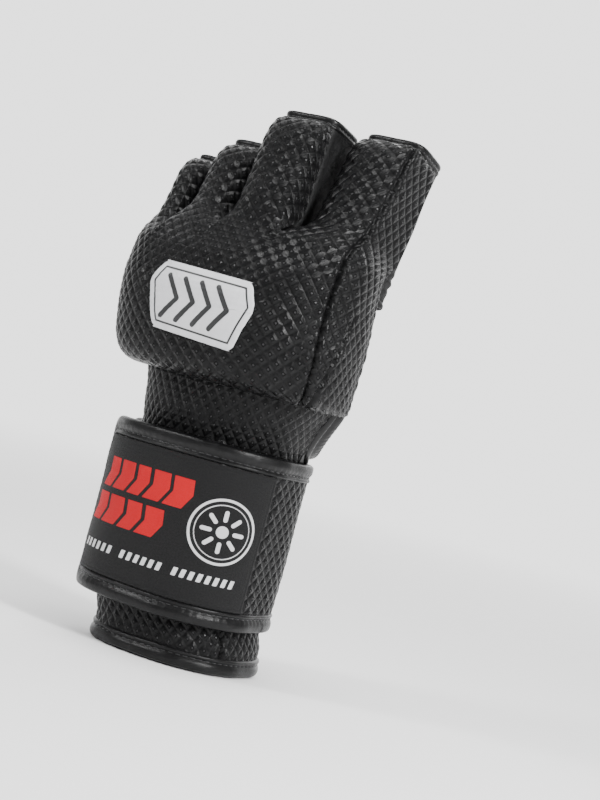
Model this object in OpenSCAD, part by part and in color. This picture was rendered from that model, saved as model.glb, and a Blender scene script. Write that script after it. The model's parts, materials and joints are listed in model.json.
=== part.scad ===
// Fingerless training glove for the left hand, standing on its cuff.
// +Z runs from the cuff to the fingertips, -Y is the back of the hand, +X is the thumb side.
// The origin is the bottom centre of the whole glove's box.

/* [Size] */
// Height from the cuff hem to the middle finger's sleeve
glove_h = 245; // [235:1:258]
// Width of the knuckle pad
pad_w = 113; // [108:1:118]
// Half width of the cuff's leather at the wrist
wrist_a = 35.5; // [34:0.5:37]
// Half depth of the cuff's leather at the wrist
wrist_b = 33.5; // [32:0.5:35]

/* [Wrist strap] */
// Height of the strap's lower edge above the hem
strap_z = 20; // [17:0.5:22]
// Width of the strap
strap_h = 77; // [74:0.5:80]
// Width of the folded binding along each strap edge
binding_h = 8; // [6:0.5:10]
// Thickness of the strap
strap_t = 3.4; // [3:0.1:3.8]

/* [Layers] */
// Thickness of the embossed synthetic leather
leather_t = 1.4; // [1.2:0.1:1.6]
// Thickness of the fabric lining
lining_t = 0.8; // [0.6:0.1:1]
// Thickness of the cuff's sheet foam
cuff_foam_t = 2.8; // [2:0.1:3]

/* [Fingers] */
// Gap between neighbouring finger pads
finger_gap = 1.4; // [1.2:0.1:1.8]
// Half depth of a finger sleeve, outside
sleeve_d = 13.5; // [12.5:0.5:14]
// Thickness of the padding at the fingertips
tip_pad_t = 10.5; // [8:0.5:12]

/* [Hidden] */

fit = 0.25;              // clearance between stitched layers
body_fit = 0.4;          // clearance between bodies that move apart
origin_shift = [0, 10.8, 0];
wrist_x = -4;            // the wrist's axis lies towards the little finger from the pad's middle
cuff_top = strap_z + strap_h;
hem_h = 8;
cuff_n = 2.4;            // squareness of the wrist's section
hand_n = 2.4;            // squareness of the hand's section
sz = glove_h / 245;      // the upper hand's heights follow the glove's height
sx = pad_w / 113;        // and its widths follow the pad's

// Hand leather by height: x centre, half width, centre y, depth to the back, depth to the palm
function hand_x(z) = lookup(z, [[97, wrist_x], [121, 1], [150, 1], [175, 0], [260, 0]]);
function hand_a(z) = sx * lookup(z, [[97, wrist_a / sx], [121, 43.5], [150, 47.5], [175, 49], [260, 49.5]]);
function hand_y(z) = lookup(z, [[97, 0], [121, -3], [150, -8], [175, -11], [200, -12]]);
function hand_back(z) = lookup(z, [[97, wrist_b], [121, 36], [150, 30], [175, 21], [187, 16], [215, 12]]);
function hand_palm(z) = lookup(z, [[97, wrist_b], [121, 37.5], [150, 37.5], [175, 35], [187, 33], [215, 30]]);

// Outer surface of the knuckle pad by height: half width, depth to the back from hand_y
function pad_a(z) = sx * lookup(z, [[119, 50], [123, 52], [130, 54.5], [145, 56.2], [160, 56.5],
    [175, 56], [190, 54.5], [205, 53], [220, 52]]);
function pad_back(z) = lookup(z, [[119, 44], [123, 48], [130, 50.5], [145, 52], [160, 50],
    [175, 43], [190, 32], [205, 21], [220, 10]]);
pad_n = 2.8;             // squareness of the pad's section

// Section point. ang is 0 at the back, 90 at the thumb, 180 at the palm and -90 at the little finger.
function spow(v, n) = sign(v) * pow(abs(v), 2 / n);
function section(cx, cy, a, back, palm, n, ang) =
    [cx + a * spow(sin(ang), n), cy - (cos(ang) > 0 ? back : palm) * spow(cos(ang), n)];
function wrist_pt(z, off, ang) =
    concat(section(wrist_x, 0, wrist_a + off, wrist_b + off, wrist_b + off, cuff_n, ang), z);
function hand_pt(z, off, ang) = concat(section(hand_x(z), hand_y(z), hand_a(z) + off,
    hand_back(z) + off, hand_palm(z) + off, hand_n, ang), z);
function mix(p, q, t) = p * (1 - t) + q * t;
function ease(t) = let (c = min(1, max(0, t))) c * c * (3 - 2 * c);
// The pad thins to a flat edge at both sides of the hand.
edge_t = 4.4;
function pad_pt(z, off, ang) = mix(concat(section(0, hand_y(z), pad_a(z) + off, pad_back(z) + off,
    hand_palm(z) + off, pad_n, ang), z), hand_pt(z, edge_t + off, ang), ease((abs(ang) - 78) / 26));
function steps(lo, hi, n) = [for (i = [0 : n]) lo + (hi - lo) * i / n];

// Solid between two grids of points, rows by columns. closed joins the last column to the first.
module slab(outer, inner, closed = false) {
    rows = len(outer);
    cols = len(outer[0]);
    cn = closed ? cols : cols - 1;
    function id(k, r, c) = k * rows * cols + r * cols + c % cols;
    function quad(a, b, c, d) = [[a, b, c], [a, c, d]];
    walls = [for (r = [0 : rows - 2], c = [0 : cn - 1]) each concat(
        quad(id(0, r, c), id(0, r + 1, c), id(0, r + 1, c + 1), id(0, r, c + 1)),
        quad(id(1, r, c), id(1, r, c + 1), id(1, r + 1, c + 1), id(1, r + 1, c)))];
    rims = [for (c = [0 : cn - 1]) each concat(
        quad(id(0, 0, c), id(0, 0, c + 1), id(1, 0, c + 1), id(1, 0, c)),
        quad(id(0, rows - 1, c), id(1, rows - 1, c), id(1, rows - 1, c + 1),
            id(0, rows - 1, c + 1)))];
    ends = closed ? [] : [for (r = [0 : rows - 2]) each concat(
        quad(id(0, r, 0), id(1, r, 0), id(1, r + 1, 0), id(0, r + 1, 0)),
        quad(id(0, r, cols - 1), id(0, r + 1, cols - 1), id(1, r + 1, cols - 1),
            id(1, r, cols - 1)))];
    polyhedron([for (g = [outer, inner], row = g, p = row) p], concat(walls, rims, ends));
}

// Everything below is drawn in the glove's working frame and then moved to its origin.
module placed() { translate(origin_shift) children(); }

// --- Wrist: bands that follow the cuff's section ---
// Angles from a0 up to a1 on one common grid, so that neighbouring layers have matching facets
grid = 8;
function arc(a0, a1) = concat([a0], [for (a = [grid * ceil(a0 / grid) : grid : a1])
    if (a > a0 + 0.5 && a < a1 - 0.5) a], [a1]);
// rise is how far the band has moved out by its free end, where the flap overlaps the strap.
module wrist_band(z0, z1, in, out, a0, a1, rise = 0) {
    angs = arc(a0, a1);
    function flat(off, a) = let (p = wrist_pt(0, off + rise * (side_a - a) / (side_a - flap_end), a)) [p[0], p[1]];
    translate([0, 0, z0]) linear_extrude(z1 - z0) polygon(concat(
        [for (a = angs) flat(out, a)], [for (i = [len(angs) - 1 : -1 : 0]) flat(in, angs[i])]));
}
// Under the strap the cuff is pulled towards the little finger; below it the cuff stands freely.
function cuff_shift(z) = lookup(z, [[0, 3.5], [12, 3.5], [strap_z + 0.5, 0], [100, 0]]);
module wrist_ring(z0, z1, in, out) {
    rows = z1 > strap_z ? [z0, 12, strap_z + 0.5, z1] : [z0, z1];
    slab([for (z = rows) [for (a = steps(0, 352, 44)) wrist_pt(z, out, a) + [cuff_shift(z), 0, 0]]],
        [for (z = rows) [for (a = steps(0, 352, 44)) wrist_pt(z, in, a) + [cuff_shift(z), 0, 0]]], true);
}
module cuff_shell() {
    color("#232325") placed() wrist_ring(hem_h, cuff_top + 1, -leather_t, 0);
}
module cuff_foam() {
    color("#3a3a3c") placed() wrist_ring(hem_h, cuff_top + 1, -leather_t - cuff_foam_t, -leather_t - fit);
}
module cuff_lining() {
    color("#141416") placed() wrist_ring(hem_h, cuff_top + 1,
        -leather_t - cuff_foam_t - lining_t, -leather_t - cuff_foam_t - fit);
}
module cuff_hem_binding() {
    color("#1b1b1d") placed() wrist_ring(0, hem_h - fit, -leather_t - cuff_foam_t - lining_t, 1.4);
}

// --- Strap: an anchored part, a thumb-side part and the closing flap ---
side_a = 88;             // fold between the flap and the side part
palm_a = 146;            // fold between the side part and the anchored part
flap_end = -66;          // free end of the flap
anchor_end = 306;        // anchored part's end, under the flap
fold_gap = 0.7;          // degrees left free at each side of a fold
lift = 0.5;              // the strap's clearance from the cuff
flap_lift = 1.4;         // the flap's clearance from the cuff at its fold
flap_rise = 4.8;         // and how much more it has at its free end, over the anchored part
roll = 0.6;              // how far a folded binding stands proud of its panel
module strap_part(part, a0, a1, in, rise = 0) {
    zb = strap_z + binding_h;
    zt = cuff_top - binding_h;
    if (part == "panel") wrist_band(zb + fit, zt - fit, in, in + strap_t, a0, a1, rise);
    if (part == "top") wrist_band(zt, cuff_top, in - 0.2, in + strap_t + roll, a0, a1, rise);
    if (part == "bottom") wrist_band(strap_z, zb, in - 0.2, in + strap_t + roll, a0, a1, rise);
}
end_w = 7;               // degrees of arc covered by the flap's end binding
module strap_anchor(part) { placed() strap_part(part, palm_a + fold_gap, anchor_end, lift); }
module strap_side(part) { placed() strap_part(part, side_a + fold_gap, palm_a - fold_gap, lift); }
module strap_flap(part) {
    placed() strap_part(part, flap_end + end_w, side_a - fold_gap, flap_lift, flap_rise);
}
module strap_anchor_panel() { color("#29292b") strap_anchor("panel"); }
module strap_anchor_top_binding() { color("#1b1b1d") strap_anchor("top"); }
module strap_anchor_bottom_binding() { color("#1b1b1d") strap_anchor("bottom"); }
module strap_side_panel() { color("#29292b") strap_side("panel"); }
module strap_side_top_binding() { color("#1b1b1d") strap_side("top"); }
module strap_side_bottom_binding() { color("#1b1b1d") strap_side("bottom"); }
module strap_flap_panel() { color("#29292b") strap_flap("panel"); }
module strap_flap_top_binding() { color("#1b1b1d") strap_flap("top"); }
module strap_flap_bottom_binding() { color("#1b1b1d") strap_flap("bottom"); }
module strap_flap_end_binding() {
    color("#1b1b1d") placed() wrist_band(strap_z, cuff_top, flap_lift - 0.2, flap_lift + strap_t + roll,
        flap_end, flap_end + end_w - 0.3, flap_rise);
}
label_a = [flap_end + end_w + 1, 74];
module woven_label() {
    color("#101012") placed() wrist_band(strap_z + binding_h + 0.5, cuff_top - binding_h - 0.5,
        flap_lift + strap_t + fit, flap_lift + strap_t + 0.8, label_a[0], label_a[1], flap_rise);
}
patch_t = 0.6;
module loop_patch() {
    color("#0d0d0f") placed() wrist_band(strap_z + 10, cuff_top - 10, fit, fit + patch_t, -46, 50);
}
module hook_patch() {
    color("#0d0d0f") placed() wrist_band(strap_z + 12, cuff_top - 12, flap_lift - fit - patch_t,
        flap_lift - fit, -44, 40, flap_rise);
}

// --- Knuckle folds: each finger turns about its own axis, parallel to X ---
// Name, x range at the fold, length, sideways lean of both sides, hinge y, hinge z, lean to the palm
FINGERS = [["pinky", -54, -35, 47.5 * sz, [-0.075, -0.05], -2, 170 * sz, 14],
    ["ring", -35, -8.5, 47.5 * sz, [-0.05, -0.05], -7, 179.5 * sz, 13],
    ["middle", -8.5, 21, 60.53 * sz, [-0.05, -0.02], -13, 183 * sz, 10],
    ["index", 21, 52.5, 60.5 * sz, [0, 0.02], 2, 182.5 * sz, 14]];
back_tilt = 8;           // rise of a fold's plane towards the back
palm_step = [11, 13.5];  // clear corner that a finger's sleeve turns in
far = 150;
// Runs a profile in Y and Z along X, over one finger's share of the hand
module finger_share(i) {
    lo = i == 0 ? -far : FINGERS[i][1];
    hi = i == 3 ? far : FINGERS[i][2];
    translate([lo, 0, 0]) rotate([90, 0, 90]) linear_extrude(hi - lo) children();
}
// Region below the knuckle folds, which the hand keeps
module below_fold() {
    for (i = [0 : 3]) {
        y = FINGERS[i][5];
        z = FINGERS[i][6] - body_fit;
        finger_share(i) polygon([[y, z], [y - far, z + far * tan(back_tilt)], [y - far, -10],
            [y + far, -10], [y + far, z - palm_step[1] - 5], [y + palm_step[0], z - palm_step[1]]]);
    }
}

// --- Hand: panels and knuckle pad, cut off along the knuckle folds ---
pad_edge = 104;          // the pad reaches this far round on both sides
seam_a = 62;             // seam between the back shell and the thumb gusset
pinky_a = -78;           // seam between the back shell and the little-finger gusset
pad_rows = [121, 124, 130, 138, 148, 160, 172, 180, 188, 196, 204];
pad_clear = leather_t + 2 * fit;
module pad_layer(angs, t_out, t_in) {
    // Layer of the pad between shares t_out and t_in of its thickness, from the outside in
    placed() intersection() {
        slab([for (z = pad_rows) [for (a = angs) mix(pad_pt(z * sz, -pad_clear, a), hand_pt(z * sz, fit, a), t_out)]],
            [for (z = pad_rows) [for (a = angs) mix(pad_pt(z * sz, -pad_clear, a), hand_pt(z * sz, fit, a), t_in)]]);
        below_fold();
    }
}
module knuckle_foam() { color("#5a5a5e") pad_layer(arc(-pad_edge, pad_edge), 0, 0.62); }
module impact_layer() { color("#6d4b2c") pad_layer(arc(-pad_edge, pad_edge), 0.63, 1); }
// Leather over the pad, folded in under its lower edge
module pad_leather(a0, a1) {
    angs = arc(a0, a1);
    zu = 121 - leather_t;
    outer = concat([[for (a = angs) hand_pt(zu * sz, fit, a)]],
        [for (z = concat([zu], [for (i = [1 : len(pad_rows) - 1]) pad_rows[i]])) [for (a = angs) pad_pt(z * sz, 0, a)]]);
    inner = concat([[for (a = angs) hand_pt((121 - fit) * sz, fit, a)]],
        [for (z = pad_rows) [for (a = angs) pad_pt((z - (z == 121 ? fit : 0)) * sz, -leather_t, a)]]);
    placed() intersection() {
        slab(outer, inner);
        below_fold();
    }
}
module back_shell() { color("#232325") pad_leather(pinky_a, seam_a - 0.2); }
module thumb_gusset() { color("#232325") pad_leather(seam_a, pad_edge); }
module pinky_gusset() { color("#232325") pad_leather(-pad_edge, pinky_a - 0.2); }
module knuckle_emblem() {
    angs = arc(-17, 21);
    rows = [134, 138, 148, 160, 168];
    color("#d8d8da") placed() slab([for (z = rows) [for (a = angs) pad_pt(z * sz, 0.9, a)]],
        [for (z = rows) [for (a = angs) pad_pt(z * sz, fit, a)]]);
}

// Oval thumb opening, on the side between the thumb and the palm
hole_ang = 134;
hole_z = 133;
hole_w = 19;             // half width across
hole_l = 31;             // half length up and down
module thumb_cut(grow) {
    translate([hand_x(hole_z), hand_y(hole_z), hole_z * sz]) rotate([0, 0, hole_ang - 90])
        rotate([90, 0, 90]) linear_extrude(90) polygon([for (a = steps(0, 350, 35))
            [(hole_w + grow) * cos(a), (hole_l + grow) * sin(a)]]);
}
// Open palm, above the heel
palm_x = [-34, 12];
palm_z = 128;
module palm_cut() {
    r = 14;
    translate([0, 90, 0]) rotate([90, 0, 0]) linear_extrude(90) hull() {
        for (x = [palm_x[0] + r, palm_x[1] - r], z = [palm_z + r, 260]) translate([x, z * sz]) circle(r, $fn = 32);
    }
}
hand_rows = concat([cuff_top + 1.2, 104, 112], pad_rows);
module hand_layer(angs, off_out, off_in, closed = false, grow = 0) {
    placed() difference() {
        intersection() {
            slab([for (z = hand_rows) [for (a = angs) hand_pt(z * sz, off_out, a)]],
                [for (z = hand_rows) [for (a = angs) hand_pt(z * sz, off_in, a)]], closed);
            below_fold();
        }
        thumb_cut(grow);
        palm_cut();
    }
}
module back_panel() { color("#232325") hand_layer(arc(-97.5, 96.5), 0, -leather_t, grow = 1.5); }
module palm_panel() { color("#1d1d1f") hand_layer(arc(97, 262), 0, -leather_t, grow = 1.5); }
module hand_lining() { color("#141416") hand_layer(steps(0, 352, 44), -leather_t - fit, -leather_t - lining_t, closed = true, grow = 1.5); }

// Round piping swept round the thumb opening
piping_r = 2.4;
module thumb_hole_piping() {
    // The piping's centre line lies on the hand's leather, where the opening's prism meets it.
    d = [sin(hole_ang), -cos(hole_ang)];
    s = [cos(hole_ang), sin(hole_ang)];
    function depth(u, z, r, n = 0) = // distance out from the hand's middle at side offset u
        let (q = [hand_x(hole_z), hand_y(hole_z)] + s * u + d * r,
            f = pow(abs((q[0] - hand_x(z)) / (hand_a(z) - 0.7)), hand_n)
                + pow(abs((q[1] - hand_y(z)) / ((q[1] > hand_y(z) ? hand_palm(z) : hand_back(z)) - 0.7)), hand_n))
        n > 18 ? r : depth(u, z, f > 1 ? r - 40 / pow(2, n + 1) : r + 40 / pow(2, n + 1), n + 1);
    function centre(t) =
        let (u = (hole_w - 1) * cos(t), z = hole_z * sz + (hole_l - 1) * sin(t), r = depth(u, z, 40),
            q = [hand_x(hole_z), hand_y(hole_z)] + s * u + d * r)
        [q[0], q[1], z];
    turns = steps(0, 350, 35);
    rings = [for (t = turns)
        let (c = centre(t), w = centre(t + 2) - centre(t - 2), f = w / norm(w),
            up0 = [d[0], d[1], 0], up1 = up0 - f * (up0 * f), up = up1 / norm(up1), side = cross(f, up))
        [for (k = [0 : 9]) c + (up * cos(k * 36) + side * sin(k * 36)) * piping_r]];
    n = len(rings);
    color("#1b1b1d") placed() polyhedron([for (g = rings, p = g) p],
        [for (i = [0 : n - 1], k = [0 : 9]) let (a = i * 10 + k, b = i * 10 + (k + 1) % 10,
            c = ((i + 1) % n) * 10 + (k + 1) % 10, e = ((i + 1) % n) * 10 + k)
            each [[a, b, c], [a, c, e]]]);
}

// --- Fingers ---
// Point of finger f at distance s along it, sideways x and height t out towards its back
spread_s = 12;           // distance from the fold at which the fingers start to spread
function finger_pt(f, s, x, t) = let (c = f[7], u = (x - f[1]) / (f[2] - f[1]))
    [x + (f[4][0] * (1 - u) + f[4][1] * u) * max(0, s - spread_s),
    f[5] + s * sin(c) - t * cos(c), f[6] + s * cos(c) + t * sin(c)];
// Region above the finger's fold
module above_fold(f) {
    y = f[5];
    z = f[6] + 0.1;
    translate([-far, 0, 0]) rotate([90, 0, 90]) linear_extrude(2 * far) polygon([[y, z],
        [y - far, z + far * tan(back_tilt)], [y - far, 400], [y + far, 400], [y + far, z - far * tan(2)]]);
}
sleeve_wall = 1.6;
sleeve_inset = 0.9;      // how far a sleeve stands in from its pad's sides
hem_s = 4;               // height of a sleeve's hem
function sleeve_ring(f, s, shrink) =
    let (cx = (f[1] + f[2]) / 2, hw = (f[2] - f[1] - finger_gap) / 2 - sleeve_inset - shrink,
        hd = sleeve_d - shrink)
    [for (a = steps(0, 345, 23)) finger_pt(f, s, cx + hw * spow(sin(a), 4.5), hd * spow(cos(a), 4.5))];
module sleeve_tube(f, s0, s1, out, in) {
    rows = s1 - s0 > 10 ? [s0, spread_s, s1] : [s0, s1];
    slab([for (s = rows) sleeve_ring(f, s, out)], [for (s = rows) sleeve_ring(f, s, in)], true);
}
module sleeve(f) {
    color("#18181a") placed() intersection() {
        sleeve_tube(f, -8, f[3] - hem_s, 0, sleeve_wall);
        above_fold(f);
    }
}
module sleeve_hem(f) {
    color("#121214") placed() sleeve_tube(f, f[3] - hem_s + fit, f[3], -0.3, sleeve_wall);
}

module finger_lining(f) {
    color("#141416") placed() intersection() {
        sleeve_tube(f, -6, f[3] - hem_s, sleeve_wall + fit, sleeve_wall + lining_t);
        above_fold(f);
    }
}

// Finger padding: it carries on the knuckle pad's surface and thins towards the tip.
pad_base = sleeve_d + 0.4;
round_s = 13;            // length over which the pad's end rounds off
function knuckle_t(f, s, x, shrink) = let (c = f[7], z = (f[6] + s * cos(c) + 7) / sz,
    fall = pow(max(0.001, 1 - pow(abs(x) / (pad_a(z) - shrink), pad_n)), 1 / pad_n))
    (f[5] + s * sin(c) - hand_y(z) + (pad_back(z) - shrink) * fall) / cos(c);
function tip_t(s, end, shrink) = (tip_pad_t + 9.5 * (1 - s / end) - shrink)
    * sqrt(max(0.01, 1 - pow(max(0, (s - end + round_s) / round_s), 2)));
function pad_ring(f, s, end, shrink, floor) =
    let (x0 = f[1] + finger_gap / 2 + shrink, x1 = f[2] - finger_gap / 2 - shrink, k = ease((s + 2) / 18))
    concat([finger_pt(f, s, (x0 + x1) / 2, floor), finger_pt(f, s, x0, floor)],
        [for (a = steps(-90, 90, 10)) let (u = spow(sin(a), 2.6), x = (x0 + x1) / 2 + (x1 - x0) / 2 * u,
            edge = pow(max(0, 1 - pow(abs(u), 3.4)), 1 / 3.4),
            t = mix(knuckle_t(f, s, x, shrink), pad_base + tip_t(s, end, shrink) * edge, k))
            finger_pt(f, s, x, max(pad_base + 0.6, t))], [finger_pt(f, s, x1, floor)]);
// Solid through rings of points; each end is a fan from the ring's first point.
module capped(rings) {
    n = len(rings);
    m = len(rings[0]);
    polyhedron([for (g = rings, p = g) p], concat(
        [for (k = [1 : m - 2]) [0, k, k + 1]],
        [for (k = [1 : m - 2]) [(n - 1) * m, (n - 1) * m + k + 1, (n - 1) * m + k]],
        [for (i = [0 : n - 2], k = [0 : m - 1]) let (a = i * m + k, b = i * m + (k + 1) % m,
            c = (i + 1) * m + (k + 1) % m, e = (i + 1) * m + k) each [[a, e, c], [a, c, b]]]));
}
module finger_block(f, s0, end, shrink, floor = pad_base) {
    capped([for (s = concat(steps(s0, spread_s, 7), steps(17, end - round_s, 2), [end - 9, end - 5, end - 2, end]))
        pad_ring(f, s, end, shrink, floor)]);
}
lobe_short = 4;          // how far a pad stops short of its sleeve
module pad_foam(f) {
    color("#5a5a5e") placed() intersection() {
        finger_block(f, -30, f[3] - lobe_short - leather_t, leather_t);
        above_fold(f);
    }
}
module pad_shell(f) {
    // Leather over the foam; it is open where the foam lies on the sleeve.
    color("#232325") placed() difference() {
        intersection() {
            finger_block(f, -30, f[3] - lobe_short, 0);
            above_fold(f);
        }
        finger_block(f, -30, f[3] - lobe_short - leather_t + fit, leather_t - fit, pad_base - 0.5);
    }
}

back_shell();
knuckle_foam();
impact_layer();
back_panel();
thumb_gusset();
pinky_gusset();
palm_panel();
thumb_hole_piping();
hand_lining();
cuff_shell();
cuff_foam();
cuff_lining();
cuff_hem_binding();
knuckle_emblem();
loop_patch();
strap_anchor_panel();
strap_anchor_top_binding();
strap_anchor_bottom_binding();
strap_side_panel();
strap_side_top_binding();
strap_side_bottom_binding();
strap_flap_panel();
strap_flap_top_binding();
strap_flap_bottom_binding();
strap_flap_end_binding();
woven_label();
hook_patch();
pad_shell(FINGERS[0]);  // pinky_pad_shell
pad_foam(FINGERS[0]);  // pinky_pad_foam
sleeve(FINGERS[0]);  // pinky_sleeve
sleeve_hem(FINGERS[0]);  // pinky_sleeve_hem
finger_lining(FINGERS[0]);  // pinky_lining
pad_shell(FINGERS[1]);  // ring_pad_shell
pad_foam(FINGERS[1]);  // ring_pad_foam
sleeve(FINGERS[1]);  // ring_sleeve
sleeve_hem(FINGERS[1]);  // ring_sleeve_hem
finger_lining(FINGERS[1]);  // ring_lining
pad_shell(FINGERS[2]);  // middle_pad_shell
pad_foam(FINGERS[2]);  // middle_pad_foam
sleeve(FINGERS[2]);  // middle_sleeve
sleeve_hem(FINGERS[2]);  // middle_sleeve_hem
finger_lining(FINGERS[2]);  // middle_lining
pad_shell(FINGERS[3]);  // index_pad_shell
pad_foam(FINGERS[3]);  // index_pad_foam
sleeve(FINGERS[3]);  // index_sleeve
sleeve_hem(FINGERS[3]);  // index_sleeve_hem
finger_lining(FINGERS[3]);  // index_lining
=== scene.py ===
"""Fingerless MMA training glove, left hand, standing on its cuff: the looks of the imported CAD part."""
import bpy
import json
import math
import numpy as np
from mathutils import Matrix, Vector


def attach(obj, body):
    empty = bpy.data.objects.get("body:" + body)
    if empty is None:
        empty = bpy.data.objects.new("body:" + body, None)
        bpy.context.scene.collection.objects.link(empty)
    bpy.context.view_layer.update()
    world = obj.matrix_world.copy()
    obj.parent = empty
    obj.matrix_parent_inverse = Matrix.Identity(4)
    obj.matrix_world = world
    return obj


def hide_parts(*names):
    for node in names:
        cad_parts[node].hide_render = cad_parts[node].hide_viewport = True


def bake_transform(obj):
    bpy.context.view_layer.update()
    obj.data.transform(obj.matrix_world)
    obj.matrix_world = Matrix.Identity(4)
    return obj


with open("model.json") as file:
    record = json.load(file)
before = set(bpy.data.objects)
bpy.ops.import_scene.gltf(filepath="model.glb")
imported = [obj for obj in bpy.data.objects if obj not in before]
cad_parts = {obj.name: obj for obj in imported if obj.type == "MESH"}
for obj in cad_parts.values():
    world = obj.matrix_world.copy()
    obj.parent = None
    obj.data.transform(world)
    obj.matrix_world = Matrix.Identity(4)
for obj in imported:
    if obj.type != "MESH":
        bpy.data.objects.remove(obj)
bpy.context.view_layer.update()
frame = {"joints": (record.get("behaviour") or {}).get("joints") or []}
JOINT = {j["name"]: j for j in frame["joints"]}

# Everything is drawn in the CAD's working frame in millimetres; place() takes it to the object's frame.
SHIFT = np.array([0.0, JOINT["middle_curl"]["pos_m"][1] * 1000 + 13.0, 0.0])


def place(points):
    return (np.asarray(points, float) + SHIFT) / 1000


# ---------------------------------------------------------------- camera
FRAME_H = 800.0             # height of the picture, in pixels
FOCAL = 2100.0              # focal length, in the same pixels
CAMERA_TARGET = Vector((0.0345, 0.0, 0.1236))
CAMERA_DISTANCE = 0.901
AZIMUTH, ELEVATION, ROLL = (math.radians(a) for a in (30.0, 0.55, 15.23))


def set_camera():
    """Camera turned to the thumb side, and rolled by as much as the glove leans in its picture."""
    away = Vector((math.sin(AZIMUTH) * math.cos(ELEVATION), -math.cos(AZIMUTH) * math.cos(ELEVATION),
                   math.sin(ELEVATION)))
    right = (-away).cross(Vector((0, 0, 1))).normalized()
    up = right.cross(-away).normalized()
    x_axis = right * math.cos(ROLL) + up * math.sin(ROLL)
    y_axis = -right * math.sin(ROLL) + up * math.cos(ROLL)
    data = bpy.data.cameras.new("camera")
    data.sensor_fit = "VERTICAL"
    data.sensor_height = 24.0
    data.lens = FOCAL / FRAME_H * data.sensor_height
    data.clip_start = 0.01
    camera = bpy.data.objects.new("camera", data)
    turn = Matrix((x_axis, y_axis, away)).transposed().to_4x4()
    turn.translation = CAMERA_TARGET + away * CAMERA_DISTANCE
    camera.matrix_world = turn
    bpy.context.scene.collection.objects.link(camera)
    bpy.context.scene.camera = camera


set_camera()


# ---------------------------------------------------------------- helpers
def run_length(points):
    """Length along a line of points, at each of them."""
    return np.concatenate([[0], np.cumsum(np.linalg.norm(np.diff(points, axis=0), axis=1))])


def unit(vectors):
    return vectors / np.linalg.norm(vectors, axis=1, keepdims=True)


def left_of(path, closed=False):
    """Unit directions square to a flat path, on its left."""
    ahead = unit(np.roll(path, -1, 0) - np.roll(path, 1, 0) if closed else np.gradient(path, axis=0))
    return np.stack([-ahead[:, 1], ahead[:, 0]], 1)


def pattern_at(p, q):
    """Pattern coordinates from the distances across and along, in millimetres."""
    return np.stack(np.broadcast_arrays(p, q, 0.0), -1)


def catmull_rom(points, closed, shares):
    """Points at these shares of each span of a smooth curve through points."""
    p = np.asarray(points, float)
    n = len(p)
    out = []
    for i in range(n if closed else n - 1):
        near = (i - 1, i, i + 1, i + 2)
        a, b, c, d = (p[k % n] if closed else p[min(max(k, 0), n - 1)] for k in near)
        for t in shares:
            out.append(0.5 * (2 * b + (c - a) * t + (2 * a - 5 * b + 4 * c - d) * t * t
                              + (3 * b - a - 3 * c + d) * t ** 3))
    out.append(p[0] if closed else p[-1])
    return np.array(out)


def smooth_path(points, step, closed=False, curved=True):
    """A smooth curve or straight lines through points, resampled at even steps."""
    fine = catmull_rom(points, closed, np.linspace(0, 1, 24, endpoint=False) if curved else (0,))
    length = run_length(fine)
    at = np.linspace(0, length[-1], max(3, int(round(length[-1] / step))) + 1)
    out = np.stack([np.interp(at, length, column) for column in fine.T], 1)
    return out[:-1] if closed else out


def closed_profile(points):
    """Smooth closed outline of a binding's cross-section."""
    return catmull_rom(points, True, np.arange(3) / 3)[:-1]


# ---------------------------------------------------------------- shape functions
def softened(values, width):
    """Values averaged over their neighbours with a bell curve; width is in samples."""
    n = int(3 * width)
    kernel = np.exp(-0.5 * (np.arange(-n, n + 1) / width) ** 2)
    return np.convolve(np.pad(values, n, mode="edge"), kernel / kernel.sum(), "valid")


def table(pairs, soften=3.0):
    """Value at a height, from (height, value) pairs joined by straight lines and softened."""
    z, v = (np.array(c, float) for c in zip(*pairs))
    step = 0.25
    zs = np.arange(z[0] - 20, z[-1] + 20, step)
    vs = softened(np.interp(zs, z, v), soften / step)
    return lambda q: np.interp(q, zs, vs)


hand_x = table([(97, -4), (121, 1), (150, 1), (175, 0), (260, 0)])
hand_a = table([(97, 35.5), (121, 43.5), (150, 47.5), (175, 49), (260, 49.5)])
hand_y = table([(97, 0), (121, -3), (150, -8), (175, -11), (200, -12)])
hand_back = table([(97, 33.5), (121, 36), (150, 30), (175, 21), (187, 16), (215, 12)])
hand_palm = table([(97, 33.5), (121, 37.5), (150, 37.5), (175, 35), (187, 33), (215, 30)])
pad_a = table([(119, 50), (123, 52), (130, 54.5), (145, 56.2), (160, 56.5), (175, 56), (190, 54.5), (205, 53),
               (220, 52)], 2.0)
pad_back = table([(119, 44), (123, 48), (130, 50.5), (145, 52), (160, 50), (175, 43), (190, 32), (205, 21),
                  (220, 10)], 2.0)
EDGE_T = 4.4                    # how far the pad stands off the hand at its side edges
PAD_EDGE = 104.0                # angle of those edges; 0 is the back, 90 the thumb side, 180 the palm
SEAM_A, PINKY_A = 62.0, -78.0   # angles of the pad's seams
WRIST_X, WRIST_A, WRIST_B = -4.0, 35.5, 33.5     # middle and half axes of the wrist
HAND_N, PAD_N = 2.4, 2.8        # powers of the rounded sections


def spow(v, n):
    """Sine or cosine reshaped for a superellipse of power n."""
    return np.sign(v) * np.abs(v) ** (2.0 / n)


def ease(t):
    """0 to 1 with a smooth start and end."""
    c = np.clip(t, 0, 1)
    return c * c * (3 - 2 * c)


def section(cx, cy, a, back, palm, n, ang):
    """Point of a rounded cross-section that is deeper or shallower on the palm side than on the back."""
    s, c = np.sin(np.radians(ang)), np.cos(np.radians(ang))
    return cx + a * spow(s, n), cy - np.where(c > 0, back, palm) * spow(c, n)


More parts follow.
